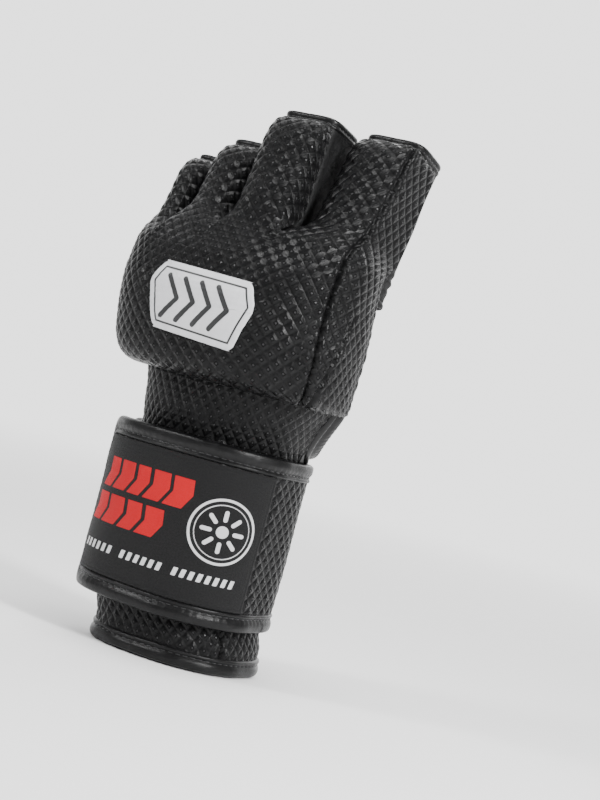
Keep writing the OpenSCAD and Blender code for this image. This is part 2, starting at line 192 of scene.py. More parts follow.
def hand_pt(z, off, ang):
    """Point on the hand's leather at height z and angle ang, off millimetres out from it."""
    z, off, ang = np.broadcast_arrays(np.asarray(z, float), off, ang)
    x, y = section(hand_x(z), hand_y(z), hand_a(z) + off, hand_back(z) + off, hand_palm(z) + off, HAND_N, ang)
    return np.stack([x, y, z], -1)


def pad_pt(z, off, ang):
    """Point on the knuckle pad, which comes down to the hand at its side edges."""
    z, off, ang = np.broadcast_arrays(np.asarray(z, float), off, ang)
    x, y = section(0, hand_y(z), pad_a(z) + off, pad_back(z) + off, hand_palm(z) + off, PAD_N, ang)
    k = ease((np.abs(ang) - 78) / 26)[..., None]
    return np.stack([x, y, z], -1) * (1 - k) + hand_pt(z, EDGE_T + off, ang) * k


def wrist_pt(z, off, ang):
    """Point on the straight tube that the strap is wound on."""
    z, off, ang = np.broadcast_arrays(np.asarray(z, float), off, ang)
    x, y = section(WRIST_X, 0, WRIST_A + off, WRIST_B + off, WRIST_B + off, HAND_N, ang)
    return np.stack([x, y, z], -1)


def cuff_pt(z, off, ang):
    """Point on the cuff: the wrist, with its hem pushed to the thumb side."""
    p = wrist_pt(z, off, ang)
    p[..., 0] += np.interp(p[..., 2], [0, 12, 20.5, 100], [3.5, 3.5, 0, 0])
    return p


def arc_cols(curve, a0, a1, step, stops=()):
    """Angles from a0 to a1 at even arc length along curve(angle), through every stop."""
    marks = [a0] + [s for s in sorted(stops) if a0 < s < a1] + [a1]
    out = [np.array([a0], float)]
    for lo, hi in zip(marks[:-1], marks[1:]):
        fine = np.linspace(lo, hi, 600)
        length = run_length(curve(fine))
        n = max(1, int(round(length[-1] / step)))
        out.append(np.interp(np.linspace(0, length[-1], n + 1)[1:], length, fine))
    return np.concatenate(out)


def normals(P, wrap=False):
    """Outward unit normals of a grid whose columns turn from the back to the thumb and whose rows rise."""
    if wrap:
        du = np.roll(P, -1, 1) - np.roll(P, 1, 1)
    else:
        du = np.gradient(P, axis=1)
    n = np.cross(du, np.gradient(P, axis=0))
    return n / np.maximum(np.linalg.norm(n, axis=-1, keepdims=True), 1e-9)


def raised(P, height, wrap=False):
    """A grid moved out along its normals."""
    return P + normals(P, wrap) * height[..., None]


def row_arc(P, col=0):
    """Distance across a grid along its rows, from a column."""
    seg = np.linalg.norm(np.diff(P, axis=1), axis=-1)
    p = np.concatenate([np.zeros((P.shape[0], 1)), np.cumsum(seg, 1)], 1)
    return p - p[:, col:col + 1]


def col_arc(P):
    """Distance up a grid along its columns."""
    seg = np.linalg.norm(np.diff(P, axis=0), axis=-1)
    return np.concatenate([np.zeros((1, P.shape[1])), np.cumsum(seg, 0)], 0)


GRID = 0.62     # step of the points that carry the embossing
PITCH = 4.6     # side of one embossed pyramid
RELIEF = 0.36   # and its height
NARROW = 1.25   # how much narrower the pyramids are on the lower back panel and the cuff


def emboss(p, q):
    """Height of the leather's embossing at p across and q along it: pyramids at 45 degrees with flat tops."""
    u, v = (p + q) / math.sqrt(2) / PITCH, (p - q) / math.sqrt(2) / PITCH
    m = np.maximum(np.abs(u - np.round(u)), np.abs(v - np.round(v)))
    return RELIEF * np.clip((0.5 - m) / 0.36, 0, 1)


def groove(d, depth=1.1, width=0.8):
    """Tucked seam at signed distance d, with the leather puffed up beside it."""
    return -depth * np.exp(-(d / width) ** 2) + 0.3 * np.exp(-((np.abs(d) - 2.4) / 1.3) ** 2)


def waves(P, size=0.35):
    """Slow unevenness of soft, stuffed leather."""
    x, y, z = P[..., 0], P[..., 1], P[..., 2]
    return size * (np.sin(x / 9.1 + z / 13.3 + 0.7) * np.sin(z / 10.7 - y / 15.9 + 1.9)
                   + 0.6 * np.sin(x / 5.3 - z / 6.1 + y / 7.7) * np.sin(z / 8.3 + x / 19.0 + 0.4))


# ---------------------------------------------------------------- mesh building
def quads(rows, cols, wrap_c=False, wrap_r=False, keep=None):
    """Faces of a grid of points, which may close on itself either way; keep picks some of them."""
    r, c = np.arange(rows if wrap_r else rows - 1), np.arange(cols if wrap_c else cols - 1)
    rr, cc = np.meshgrid(r, c, indexing="ij")
    r2, c2 = (rr + 1) % rows, (cc + 1) % cols
    f = np.stack([rr * cols + cc, rr * cols + c2, r2 * cols + c2, r2 * cols + cc], -1)
    return f[keep] if keep is not None else f.reshape(-1, 4)


class Part:
    """Points and quads of one sheet or tube, with the pattern's coordinates at each point."""

    def __init__(self, P, faces, mat=0, pq=None, flip=False):
        self.V = np.asarray(P, float).reshape(-1, 3)
        self.F = faces[:, ::-1] if flip else faces
        self.mat = mat
        self.pq = np.zeros_like(self.V) if pq is None else np.asarray(pq, float).reshape(-1, 3)


def sheet_part(P, mat=0, pq=None, wrap_c=False, wrap_r=False, keep=None, flip=False):
    """Part made of one grid of points."""
    return Part(P, quads(P.shape[0], P.shape[1], wrap_c, wrap_r, keep), mat, pq, flip)


def build(name, parts, mats, slot, body=None, bend=None, replaces=(), padded=None):
    """One named piece from its parts. bend is (body a, body b, start, end) in working millimetres, but only
    whether it is given is used: such a piece stays where it is, on no body.
    """
    parts = parts if isinstance(parts, (list, tuple)) else [parts]
    V, F, M, Q, base = [], [], [], [], 0
    for part in parts:
        used = np.unique(part.F)
        remap = np.full(len(part.V), -1)
        remap[used] = np.arange(len(used))
        V.append(part.V[used])
        Q.append(part.pq[used])
        F.append(remap[part.F] + base)
        M.append(np.full(len(part.F), part.mat))
        base += len(used)
    V, F, M, Q = np.concatenate(V), np.concatenate(F), np.concatenate(M), np.concatenate(Q)
    mesh = bpy.data.meshes.new(name)
    mesh.vertices.add(len(V))
    mesh.vertices.foreach_set("co", place(V).astype(np.float32).ravel())
    mesh.loops.add(F.size)
    mesh.loops.foreach_set("vertex_index", F.astype(np.int32).ravel())
    mesh.polygons.add(len(F))
    mesh.polygons.foreach_set("loop_start", np.arange(0, F.size, 4, dtype=np.int32))
    mesh.polygons.foreach_set("material_index", M.astype(np.int32))
    mesh.polygons.foreach_set("use_smooth", np.ones(len(F), bool))
    mesh.update(calc_edges=True)
    pattern = mesh.attributes.new("pattern", "FLOAT_VECTOR", "POINT")
    pattern.data.foreach_set("vector", Q.astype(np.float32).ravel())
    for m in mats:
        mesh.materials.append(m)
    obj = bpy.data.objects.new(name, mesh)
    bpy.context.scene.collection.objects.link(obj)
    if bend:
        tuple(place(bend[2]))
        tuple(place(bend[3]))
        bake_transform(obj)
    else:
        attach(obj, body)
    if replaces:
        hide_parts(*replaces)
    return obj


STITCH_W, STITCH_H, STITCH_PITCH = 0.5, 0.34, 3.3   # thread's width and height; one stitch and its gap


def stitches(A, B, N, mat):
    """Rows of thread, each from A to B on the surface with normal N: half-round dashes with sunk ends."""
    along = B - A
    side = np.cross(along, N)
    side /= np.maximum(np.linalg.norm(side, axis=1, keepdims=True), 1e-9)
    ts, hs, ws = (0, 0.14, 0.5, 0.86, 1), (-0.7, 0.75, 1, 0.75, -0.7), (0.5, 0.95, 1, 0.95, 0.5)
    ring = [(-1, -0.4), (-0.75, 0.65), (0, 1), (0.75, 0.65), (1, -0.4)]
    P = np.stack([np.stack([A + along * t + side * (w * STITCH_W / 2 * rx)
                            + N * (STITCH_H * h * max(ry, 0) + min(ry, 0) * 0.4)
                            for rx, ry in ring], 1) for t, h, w in zip(ts, hs, ws)], 1)
    n = len(P)
    F = (quads(5, 5)[None] + (np.arange(n) * 25)[:, None, None]).reshape(-1, 4)
    p = np.array(ts)[None, :, None] * np.linalg.norm(along, axis=1)[:, None, None]
    return Part(P, F, mat, pattern_at(p, np.zeros((n, 5, 5))))


def stitch_line(points, normal, mat, pitch=STITCH_PITCH, length=2.3, closed=False):
    """Stitches along a path of surface points with their normals."""
    p = np.asarray(points, float)
    if closed:
        p, normal = np.concatenate([p, p[:1]]), np.concatenate([normal, normal[:1]])
    arc = run_length(p)
    n = int(arc[-1] / pitch)
    pitch = arc[-1] / n
    s0 = (np.arange(n) + 0.15) * pitch

    def at(s, v):
        return np.stack([np.interp(s, arc, v[:, k]) for k in range(3)], 1)

    return stitches(at(s0, p), at(s0 + length, p), at(s0 + length / 2, normal), mat)


# ---------------------------------------------------------------- materials
ACROSS, ALONG = (1, 0, 0), (0, 1, 0)    # axes of the pattern's coordinates


class Nodes:
    """Short ways to wire a node tree. Every value is a socket or a constant."""

    def __init__(self, owner):
        owner.use_nodes = True
        self.nodes, self.links = owner.node_tree.nodes, owner.node_tree.links

    def new(self, kind):
        return self.nodes.new("ShaderNode" + kind)

    def put(self, socket, value):
        if isinstance(value, bpy.types.NodeSocket):
            self.links.new(value, socket)
        else:
            socket.default_value = value

    def math(self, op, a, b=0.0, c=None, clamp=False):
        n = self.new("Math")
        n.operation, n.use_clamp = op, clamp
        for socket, v in zip(n.inputs, (a, b, c)):
            if v is not None:
                self.put(socket, v)
        return n.outputs[0]

    def weighted(self, first, *rest):
        """Sum of (value, weight) pairs."""
        total = self.math("MULTIPLY", *first)
        for value, weight in rest:
            total = self.math("MULTIPLY_ADD", value, weight, total)
        return total

    def vector(self, op, value, other=None, output="Vector"):
        n = self.new("VectorMath")
        n.operation = op
        self.put(n.inputs[0], value)
        if other:
            n.inputs[1].default_value = other
        return n.outputs[output]

    def dot(self, value, axis):
        return self.vector("DOT_PRODUCT", value, axis, "Value")

    def span(self, value, a, b, lo=0.0, hi=1.0, smooth=True):
        """value from a..b taken to lo..hi, held at both ends."""
        n = self.new("MapRange")
        n.interpolation_type = "SMOOTHSTEP" if smooth else "LINEAR"
        for key, v in (("Value", value), ("From Min", a), ("From Max", b), ("To Min", lo), ("To Max", hi)):
            self.put(n.inputs[key], v)
        return n.outputs["Result"]

    def mix(self, fac, a, b):
        n = self.new("Mix")
        n.data_type = "RGBA"
        self.put(n.inputs[0], fac)
        for socket, v in ((n.inputs[6], a), (n.inputs[7], b)):
            self.put(socket, v if isinstance(v, bpy.types.NodeSocket) else (*v, 1))
        return n.outputs[2]


class Shader(Nodes):
    """A Principled material whose patterns follow the mesh's own pattern coordinates."""

    def __init__(self, name, colour, roughness, specular=0.5, **sockets):
        self.material = bpy.data.materials.new(name)
        super().__init__(self.material)
        self.bsdf = self.nodes["Principled BSDF"]
        self.bsdf.inputs["Base Color"].default_value = (*colour, 1)
        self.bsdf.inputs["Roughness"].default_value = roughness
        self.bsdf.inputs["Specular IOR Level"].default_value = specular
        for key, value in sockets.items():
            self.bsdf.inputs[key.replace("_", " ")].default_value = value
        self.pattern = self.attribute("pattern")

    def attribute(self, name):
        n = self.new("Attribute")
        n.attribute_name = name
        return n.outputs["Vector"]

    def wave(self, axis, length):
        """Sine of this length along an axis of the pattern."""
        return self.math("SINE", self.math("MULTIPLY", self.dot(self.pattern, axis), 2 * math.pi / length))

    def noise(self, scale, detail=3.0, distortion=0.0):
        n = self.new("TexNoise")
        n.inputs["Scale"].default_value = scale
        n.inputs["Detail"].default_value = detail
        n.inputs["Distortion"].default_value = distortion
        self.put(n.inputs["Vector"], self.pattern)
        return n.outputs["Fac"]

    def cells(self, scale):
        n = self.new("TexVoronoi")
        n.inputs["Scale"].default_value = scale
        self.put(n.inputs["Vector"], self.pattern)
        return n.outputs["Distance"]

    def colour(self, value):
        self.put(self.bsdf.inputs["Base Color"], value)

    def roughness(self, value):
        self.put(self.bsdf.inputs["Roughness"], value)

    def bump(self, height_mm):
        n = self.new("Bump")
        n.inputs["Strength"].default_value = 1.0
        n.inputs["Distance"].default_value = 0.001
        self.put(n.inputs["Height"], height_mm)
        self.links.new(n.outputs["Normal"], self.bsdf.inputs["Normal"])


def embossed_leather():
    """Pyramids at the same places as emboss() gives the mesh, each with a small stud ringed by a dent."""
    s = Shader("embossed_leather", (0.008, 0.008, 0.0084), 0.36, 0.13)
    k = 1 / (math.sqrt(2) * PITCH)
    cell = []
    for axis in ((k, k, 0), (k, -k, 0)):
        u = s.dot(s.pattern, axis)
        cell.append(s.math("ABSOLUTE", s.math("SUBTRACT", u, s.math("ROUND", u))))
    m = s.math("MAXIMUM", *cell)
    ring = s.math("MULTIPLY", s.span(m, 0.085, 0.11), s.span(m, 0.165, 0.195, 1, 0))
    stud = s.span(m, 0.075, 0.1, 1, 0)
    s.bump(s.weighted((ring, -0.3), (s.span(m, 0.5, 0.21, 0, 1, False), 0.3), (s.cells(2.6), 0.03),
                      (s.noise(3.2, 4), 0.045)))
    worn = s.math("MULTIPLY", s.span(m, 0.5, 0.2), s.span(s.noise(0.09, 3), 0.3, 0.75))
    shade = s.mix(worn, (0.0042, 0.0042, 0.0044), (0.0105, 0.0105, 0.0109))
    # Painted highlight: the stud on each pyramid's top is coloured lighter, a glint painted into the colour
    shade = s.mix(stud, shade, (0.03, 0.03, 0.031))
    # Painted shade: the dent ringing each stud is coloured near black, shade painted into the colour
    s.colour(s.mix(ring, shade, (0.0006, 0.0006, 0.0007)))
    rough = s.span(s.noise(0.5, 3), 0.3, 0.7, 0.25, 0.38)
    rough = s.math("MULTIPLY_ADD", stud, -0.06, rough)
    s.roughness(s.math("MULTIPLY_ADD", ring, 0.5, rough))
    return s.material


def smooth_leather(name, colour, low, high, grain=2.2, depth=0.05, crease=0.12):
    s = Shader(name, colour, 0.4, 0.22)
    s.bump(s.weighted((s.cells(grain), depth), (s.noise(0.55, 4, 0.8), crease), (s.noise(5, 2), depth * 0.6)))
    scuff = s.span(s.noise(0.16, 4, 0.5), 0.45, 0.8)
    s.colour(s.mix(scuff, colour, tuple(c * 2.1 + 0.001 for c in colour)))
    s.roughness(s.span(s.noise(0.35, 4), 0.3, 0.72, low, high))
    return s.material


def thread():
    s = Shader("sewing_thread", (0.011, 0.011, 0.012), 0.5, 0.4, Sheen_Weight=0.2)
    twist = s.wave(ACROSS, 2 * math.pi / 14)
    s.bump(s.math("MULTIPLY", twist, 0.05))
    s.colour(s.mix(s.span(twist, -1, 1), (0.0066, 0.0066, 0.0072), (0.0187, 0.0187, 0.0204)))
    return s.material


def knit():
    s = Shader("lining_fabric", (0.008, 0.008, 0.009), 0.85, 0.25, Sheen_Weight=0.25)
    loops = s.math("MULTIPLY", s.wave(ACROSS, 0.9), s.wave(ALONG, 0.7))
    s.bump(s.weighted((s.noise(1.2, 4), 0.12), (loops, 0.09)))
    lint = s.math("MULTIPLY", s.span(loops, -1, 1), s.span(s.noise(0.3, 5), 0.2, 0.9))
    s.colour(s.mix(lint, (0.0044, 0.0044, 0.00495), (0.0152, 0.0152, 0.0171)))
    s.roughness(s.span(s.noise(2, 2), 0.3, 0.7, 0.75, 0.95))
    return s.material


def marks_colour(s, base, inks, edge=0.09):
    """Paints each ink inside its own outline, a signed distance in millimetres kept with the mesh."""
    marks = s.attribute("marks")
    value, masks = base, []
    for axis, ink in zip((ACROSS, ALONG), inks):
        mask = s.span(s.dot(marks, axis), -edge, edge, 1, 0)
        value = s.mix(mask, value, ink)
        masks.append(mask)
    return value, masks


def woven_label():
    s = Shader("label_weave", (0.008, 0.008, 0.009), 0.7, 0.2, Sheen_Weight=0.05)
    warp, weft, twill = s.wave(ACROSS, 0.42), s.wave(ALONG, 0.3), s.wave((1, 1.4, 0), 1.1)
    shade = s.span(s.weighted((warp, 0.4), (weft, 0.6)), -1, 1)
    black = s.mix(shade, (0.0018, 0.0018, 0.002), (0.007, 0.007, 0.0075))
    red = s.mix(shade, (0.30, 0.001, 0.004), (0.62, 0.003, 0.010))
    white = s.mix(shade, (0.42, 0.42, 0.42), (0.80, 0.80, 0.81))
    value, masks = marks_colour(s, black, (red, white))
    s.colour(value)
    thread_lift = s.math("ADD", *masks, clamp=True)
    s.bump(s.weighted((weft, 0.03), (warp, 0.02), (twill, 0.012), (thread_lift, 0.09),
                      (s.noise(3.0, 3), 0.04)))
    s.roughness(s.span(s.noise(1.5, 2), 0.3, 0.7, 0.6, 0.8))
    return s.material


def emblem_print():
    s = Shader("emblem_print", (0.6, 0.6, 0.62), 0.45, 0.5)
    grit = s.noise(6.0, 2)
    silver = s.mix(s.span(grit, 0.3, 0.7), (0.50, 0.50, 0.52), (0.74, 0.74, 0.76))
    silver = s.mix(s.span(s.noise(0.22, 4), 0.35, 0.8), silver, (0.58, 0.58, 0.60))
    value, masks = marks_colour(s, silver, ((0.012, 0.012, 0.013),), 0.12)
    s.colour(value)
    s.bump(s.weighted((grit, 0.05), (masks[0], -0.14)))
    s.roughness(s.span(s.noise(1.1, 3), 0.3, 0.7, 0.36, 0.55))
    return s.material


def tape(name, hooks):
    s = Shader(name, (0.014, 0.014, 0.015), 0.75 if hooks else 0.95, 0.35, Sheen_Weight=0.0 if hooks else 0.5)
    if hooks:
        pile, height = s.span(s.math("MULTIPLY", s.wave(ACROSS, 1.3), s.wave(ALONG, 1.1)), 0.1, 0.8), 0.5
    else:
        pile, height = s.noise(1.6, 6, 2.5), 0.9
    s.bump(s.math("MULTIPLY", pile, height))
    s.colour(s.mix(s.span(pile, 0.2, 0.8), (0.006, 0.006, 0.006), (0.034, 0.034, 0.036)))
    return s.material


M_EMB = embossed_leather()
M_SMOOTH = smooth_leather("smooth_leather", (0.0032, 0.0032, 0.0034), 0.28, 0.4)
M_SLEEVE = smooth_leather("sleeve_leather", (0.0026, 0.0026, 0.0028), 0.5, 0.68, grain=1.8, depth=0.07,
                          crease=0.25)
M_THREAD = thread()
M_LINING = knit()
M_LABEL = woven_label()
M_EMBLEM = emblem_print()
M_HOOK = tape("hook_tape", True)
M_LOOP = tape("loop_tape", False)
EMBOSSED = ([M_EMB], "embossed_leather")                # materials and slot of build()
BOUND = ([M_SMOOTH, M_THREAD], "smooth_leather")


# ---------------------------------------------------------------- knuckle pad
def finger(name, x0, x1, length, lean, tilt, crease):
    """Measures of one finger: its sides x0 and x1, its length from the knuckle, the lean of its two sides,
    its tilt to the palm in degrees, and the height of its crease. hy and hz place its hinge."""
    pos = JOINT[name + "_curl"]["pos_m"]
    c = math.radians(tilt)
    return dict(name=name, x0=x0, x1=x1, length=length, lean=lean, c=c, crease=crease,
                hy=pos[1] * 1000 - SHIFT[1], hz=pos[2] * 1000, xm=(x0 + x1) / 2,
                along=np.array([0, math.sin(c), math.cos(c)]), out=np.array([0, -math.cos(c), math.sin(c)]))


FINGERS = [finger("pinky", -54, -35, 47.5, (-0.075, -0.05), 14, 174.5),
           finger("ring", -35, -8.5, 47.5, (-0.05, -0.05), 13, 184.5),
           finger("middle", -8.5, 21, 60.53, (-0.05, -0.02), 10, 187.0),
           finger("index", 21, 52.5, 60.5, (0.0, 0.02), 14, 188.0)]


def hinge_of(f):
    return np.array([f["xm"], f["hy"], f["hz"]])


def finger_pt(f, s, x, t):
    """Point s along a finger from its hinge, at x across the hand, and t out to the back of it."""
    u = (x - f["x0"]) / (f["x1"] - f["x0"])
    rate = f["lean"][0] * (1 - u) + f["lean"][1] * u
    s, x, t = np.broadcast_arrays(s, x, t)
    p = np.empty(s.shape + (3,))
    p[..., 0] = x + rate * np.maximum(0, s - 12)
    p[..., 1] = f["hy"] + s * math.sin(f["c"]) - t * math.cos(f["c"])
    p[..., 2] = f["hz"] + s * math.cos(f["c"]) + t * math.sin(f["c"])
    return p


def crease_table():
    """Height of the line where the finger pads begin, by angle: level with each finger's own fold."""
    angs = arc_cols(lambda a: pad_pt(185, 0, a), -PAD_EDGE, PAD_EDGE, 0.3)
    heights = np.arange(140, 206, 0.25)
    P = pad_pt(heights[:, None], 0, angs[None, :])
    x = pad_pt(185, 0, angs)[:, 0]
    out = np.zeros(len(angs))
    for f in FINGERS:
        row = pad_pt(f["crease"], 0, angs)
        mid = row[np.argmin(np.abs(row[:, 0] - f["xm"]) + 100 * (np.abs(angs) > 80))]
        s_fold = float((mid - hinge_of(f)) @ f["along"])
        s = (P - hinge_of(f)) @ f["along"]
        z = np.array([np.interp(s_fold, s[:, j], heights) for j in range(len(angs))])
        mine = ((x >= f["x0"]) | (f["name"] == "pinky")) & ((x < f["x1"]) | (f["name"] == "index"))
        out[mine] = z[mine]
    out = softened(out, 10.0)
    return lambda a: np.interp(a, angs, out)


crease_z = crease_table()
PAD_Z0 = 121.0                  # height of the pad's lower end
BOTTOM_ROWS, ROUND_ROWS, PAD_ROWS = 7, 8, 104
# The pad's side edges, turned in: (distance past the edge, depth)
EDGE_ROLL = [(0.7, 0.15), (1.3, 0.55), (1.7, 1.15), (1.9, 1.9), (1.9, 3.2), (1.6, 4.35)]
MM_PER_DEG = 0.79
SEAM_HALF = 1.3                 # half the width of the plain strip along a seam


def pad_columns():
    """Angles across the pad, and how far each column is sunk at the side edges."""
    cols = arc_cols(lambda a: pad_pt(150, 0, a), -PAD_EDGE, PAD_EDGE, GRID, (PINKY_A, SEAM_A, 0.0))
    out, down = np.array(EDGE_ROLL).T
    ang = np.concatenate([-PAD_EDGE - out[::-1] / MM_PER_DEG, cols, PAD_EDGE + out / MM_PER_DEG])
    off = np.concatenate([-down[::-1], np.zeros(len(cols)), -down])
    return ang, off


def knuckle_pad():
    """The pad and its two gussets, cut from one surface along the seams."""
    ang, off = pad_columns()
    thick = np.linalg.norm(pad_pt(124, off, ang) - hand_pt(124, 0, ang), axis=-1)
    R = 0.42 * thick
    rows = []
    base = hand_pt(122.8, 0.2, ang)
    lip = pad_pt(PAD_Z0, off - R, ang)
    for k in np.linspace(0, 1, BOTTOM_ROWS, endpoint=False):
        rows.append(base * (1 - k) + lip * k)
    for phi in np.radians(np.linspace(0, 90, ROUND_ROWS, endpoint=False)):
        rows.append(pad_pt(PAD_Z0 + R * (1 - math.cos(phi)), off - R * (1 - math.sin(phi)), ang))
    top = crease_z(ang)
    for v in np.linspace(0, 1, PAD_ROWS):
        rows.append(pad_pt(PAD_Z0 + R + (top - PAD_Z0 - R) * v, off, ang))
    P = np.array(rows)
    zero, seam, pinky = (int(np.argmin(np.abs(ang - a))) for a in (0.0, SEAM_A, PINKY_A))
    p = row_arc(P, zero)
    q = col_arc(P)
    q -= q[BOTTOM_ROWS + ROUND_ROWS]
    z = P[..., 2]
    d_seam, d_pinky = p - p[:, seam:seam + 1], p - p[:, pinky:pinky + 1]
    dart_a = np.interp(z, [121, 140, 166], [66.5, 73.0, 83.0])
    d_dart = p - np.array([np.interp(dart_a[i], ang, p[i]) for i in range(len(P))])
    dart_on = np.clip((168 - z) / 16, 0, 1)
    fade = (1 - np.exp(-(d_seam / SEAM_HALF) ** 2)) * (1 - np.exp(-(d_pinky / SEAM_HALF) ** 2))
    fade *= 1 - dart_on * np.exp(-(d_dart / 1.2) ** 2)
    fade *= np.clip((q + 9.0) / 3.0, 0, 1) * np.where(off < 0, 0.0, 1.0)[None, :]
    on_face = np.clip((q + 8) / 3, 0, 1)
    h = emboss(p, q) * fade + waves(P) * on_face * np.clip((PAD_EDGE - np.abs(ang)) / 10, 0, 1)
    h += on_face * (groove(d_seam, 1.5, 0.75) + groove(d_pinky, 0.9, 0.7)
                    + dart_on * groove(d_dart, 1.3, 0.7))
    h += valley_folds(P)
    P = raised(P, h)
    pq = pattern_at(p, q)
    pieces = (("pinky_gusset_cover", 0, pinky, ("pinky_gusset",), 0.6),
              ("knuckle_pad_cover", pinky, seam, ("back_shell", "knuckle_foam", "impact_layer"), 0.9),
              ("thumb_gusset_cover", seam, len(ang) - 1, ("thumb_gusset",), 0.6))
    for name, a, b, nodes, fill in pieces:
        build(name, sheet_part(P[:, a:b + 1], 0, pq[:, a:b + 1]), *EMBOSSED, "hand", replaces=nodes,
              padded=fill)
    return dict(ang=ang, p=p[-1], q=q[-1])


VALLEYS = [(f["x0"], size) for f, size in zip(FINGERS[1:], (0.6, 0.75, 1.0))]
VALLEY_A = np.linspace(-80, 80, 321)
VALLEY_X = pad_pt(185, 0, VALLEY_A)[:, 0]


def valley_folds(P):
    """Short creases pressed into the leather where the finger pads part."""
    h = np.zeros(P.shape[:2])
    back = P[..., 1] < -15
    for x0, size in VALLEYS:
        dx = P[..., 0] - x0
        for dz, depth, width in ((-1.6, 0.8, 5.5), (-4.4, 0.55, 7.0), (-7.2, 0.3, 5.0)):
            line = float(crease_z(np.interp(x0, VALLEY_X, VALLEY_A))) + dz - 0.028 * dx ** 2
            h -= size * depth * np.exp(-((P[..., 2] - line) / 0.75) ** 2) * np.exp(-(dx / width) ** 2)
    return h * back


PAD = knuckle_pad()


# ---------------------------------------------------------------- finger pads
PAD_BASE = 13.9     # from the finger's middle line to the foot of its pad
RISE = 17.0         # height of a pad over its foot, as taken to space its columns
WALL = 20.0         # how far the outer side of the first and last pad goes below the foot
ROUND_S = 13.0      # length of the rounded end
GAP = 1.4           # between two fingers
LOBE_SHORT = 4.0    # how much a pad is shorter than its sleeve
LOBE_GRID = 0.6     # step of its points
LOBE_N = 2.5        # power of its rounded section
BEND_S = 14.0       # where the bend at the knuckle ends, above the knuckle pad's last row


def half_profile(hw, side):
    """Shares (across u, height e) of one half of a finger pad from its ridge outwards, at even arc length."""
    phi = np.radians(np.linspace(0, 90, 200))
    u = np.sin(phi) ** (2 / 2.6)
    e = np.maximum(0, 1 - u ** LOBE_N) ** (1 / LOBE_N)
    if side:
        u, e = np.append(u, np.ones(40)), np.append(e, -np.linspace(0.02, 1, 40))
    length = run_length(np.stack([hw * u, np.where(e > 0, RISE * e, WALL * e)], 1))
    at = np.linspace(0, length[-1], int(length[-1] / LOBE_GRID) + 1)[1:]
    return np.interp(at, length, u), np.interp(at, length, e), at / length[-1]


def round_over(s, end, run):
    """0 to 1 as a quarter circle over the last run millimetres before end."""
    return 1 - np.sqrt(np.maximum(0, 1 - np.clip((s - end + run) / run, 0, 1) ** 2))


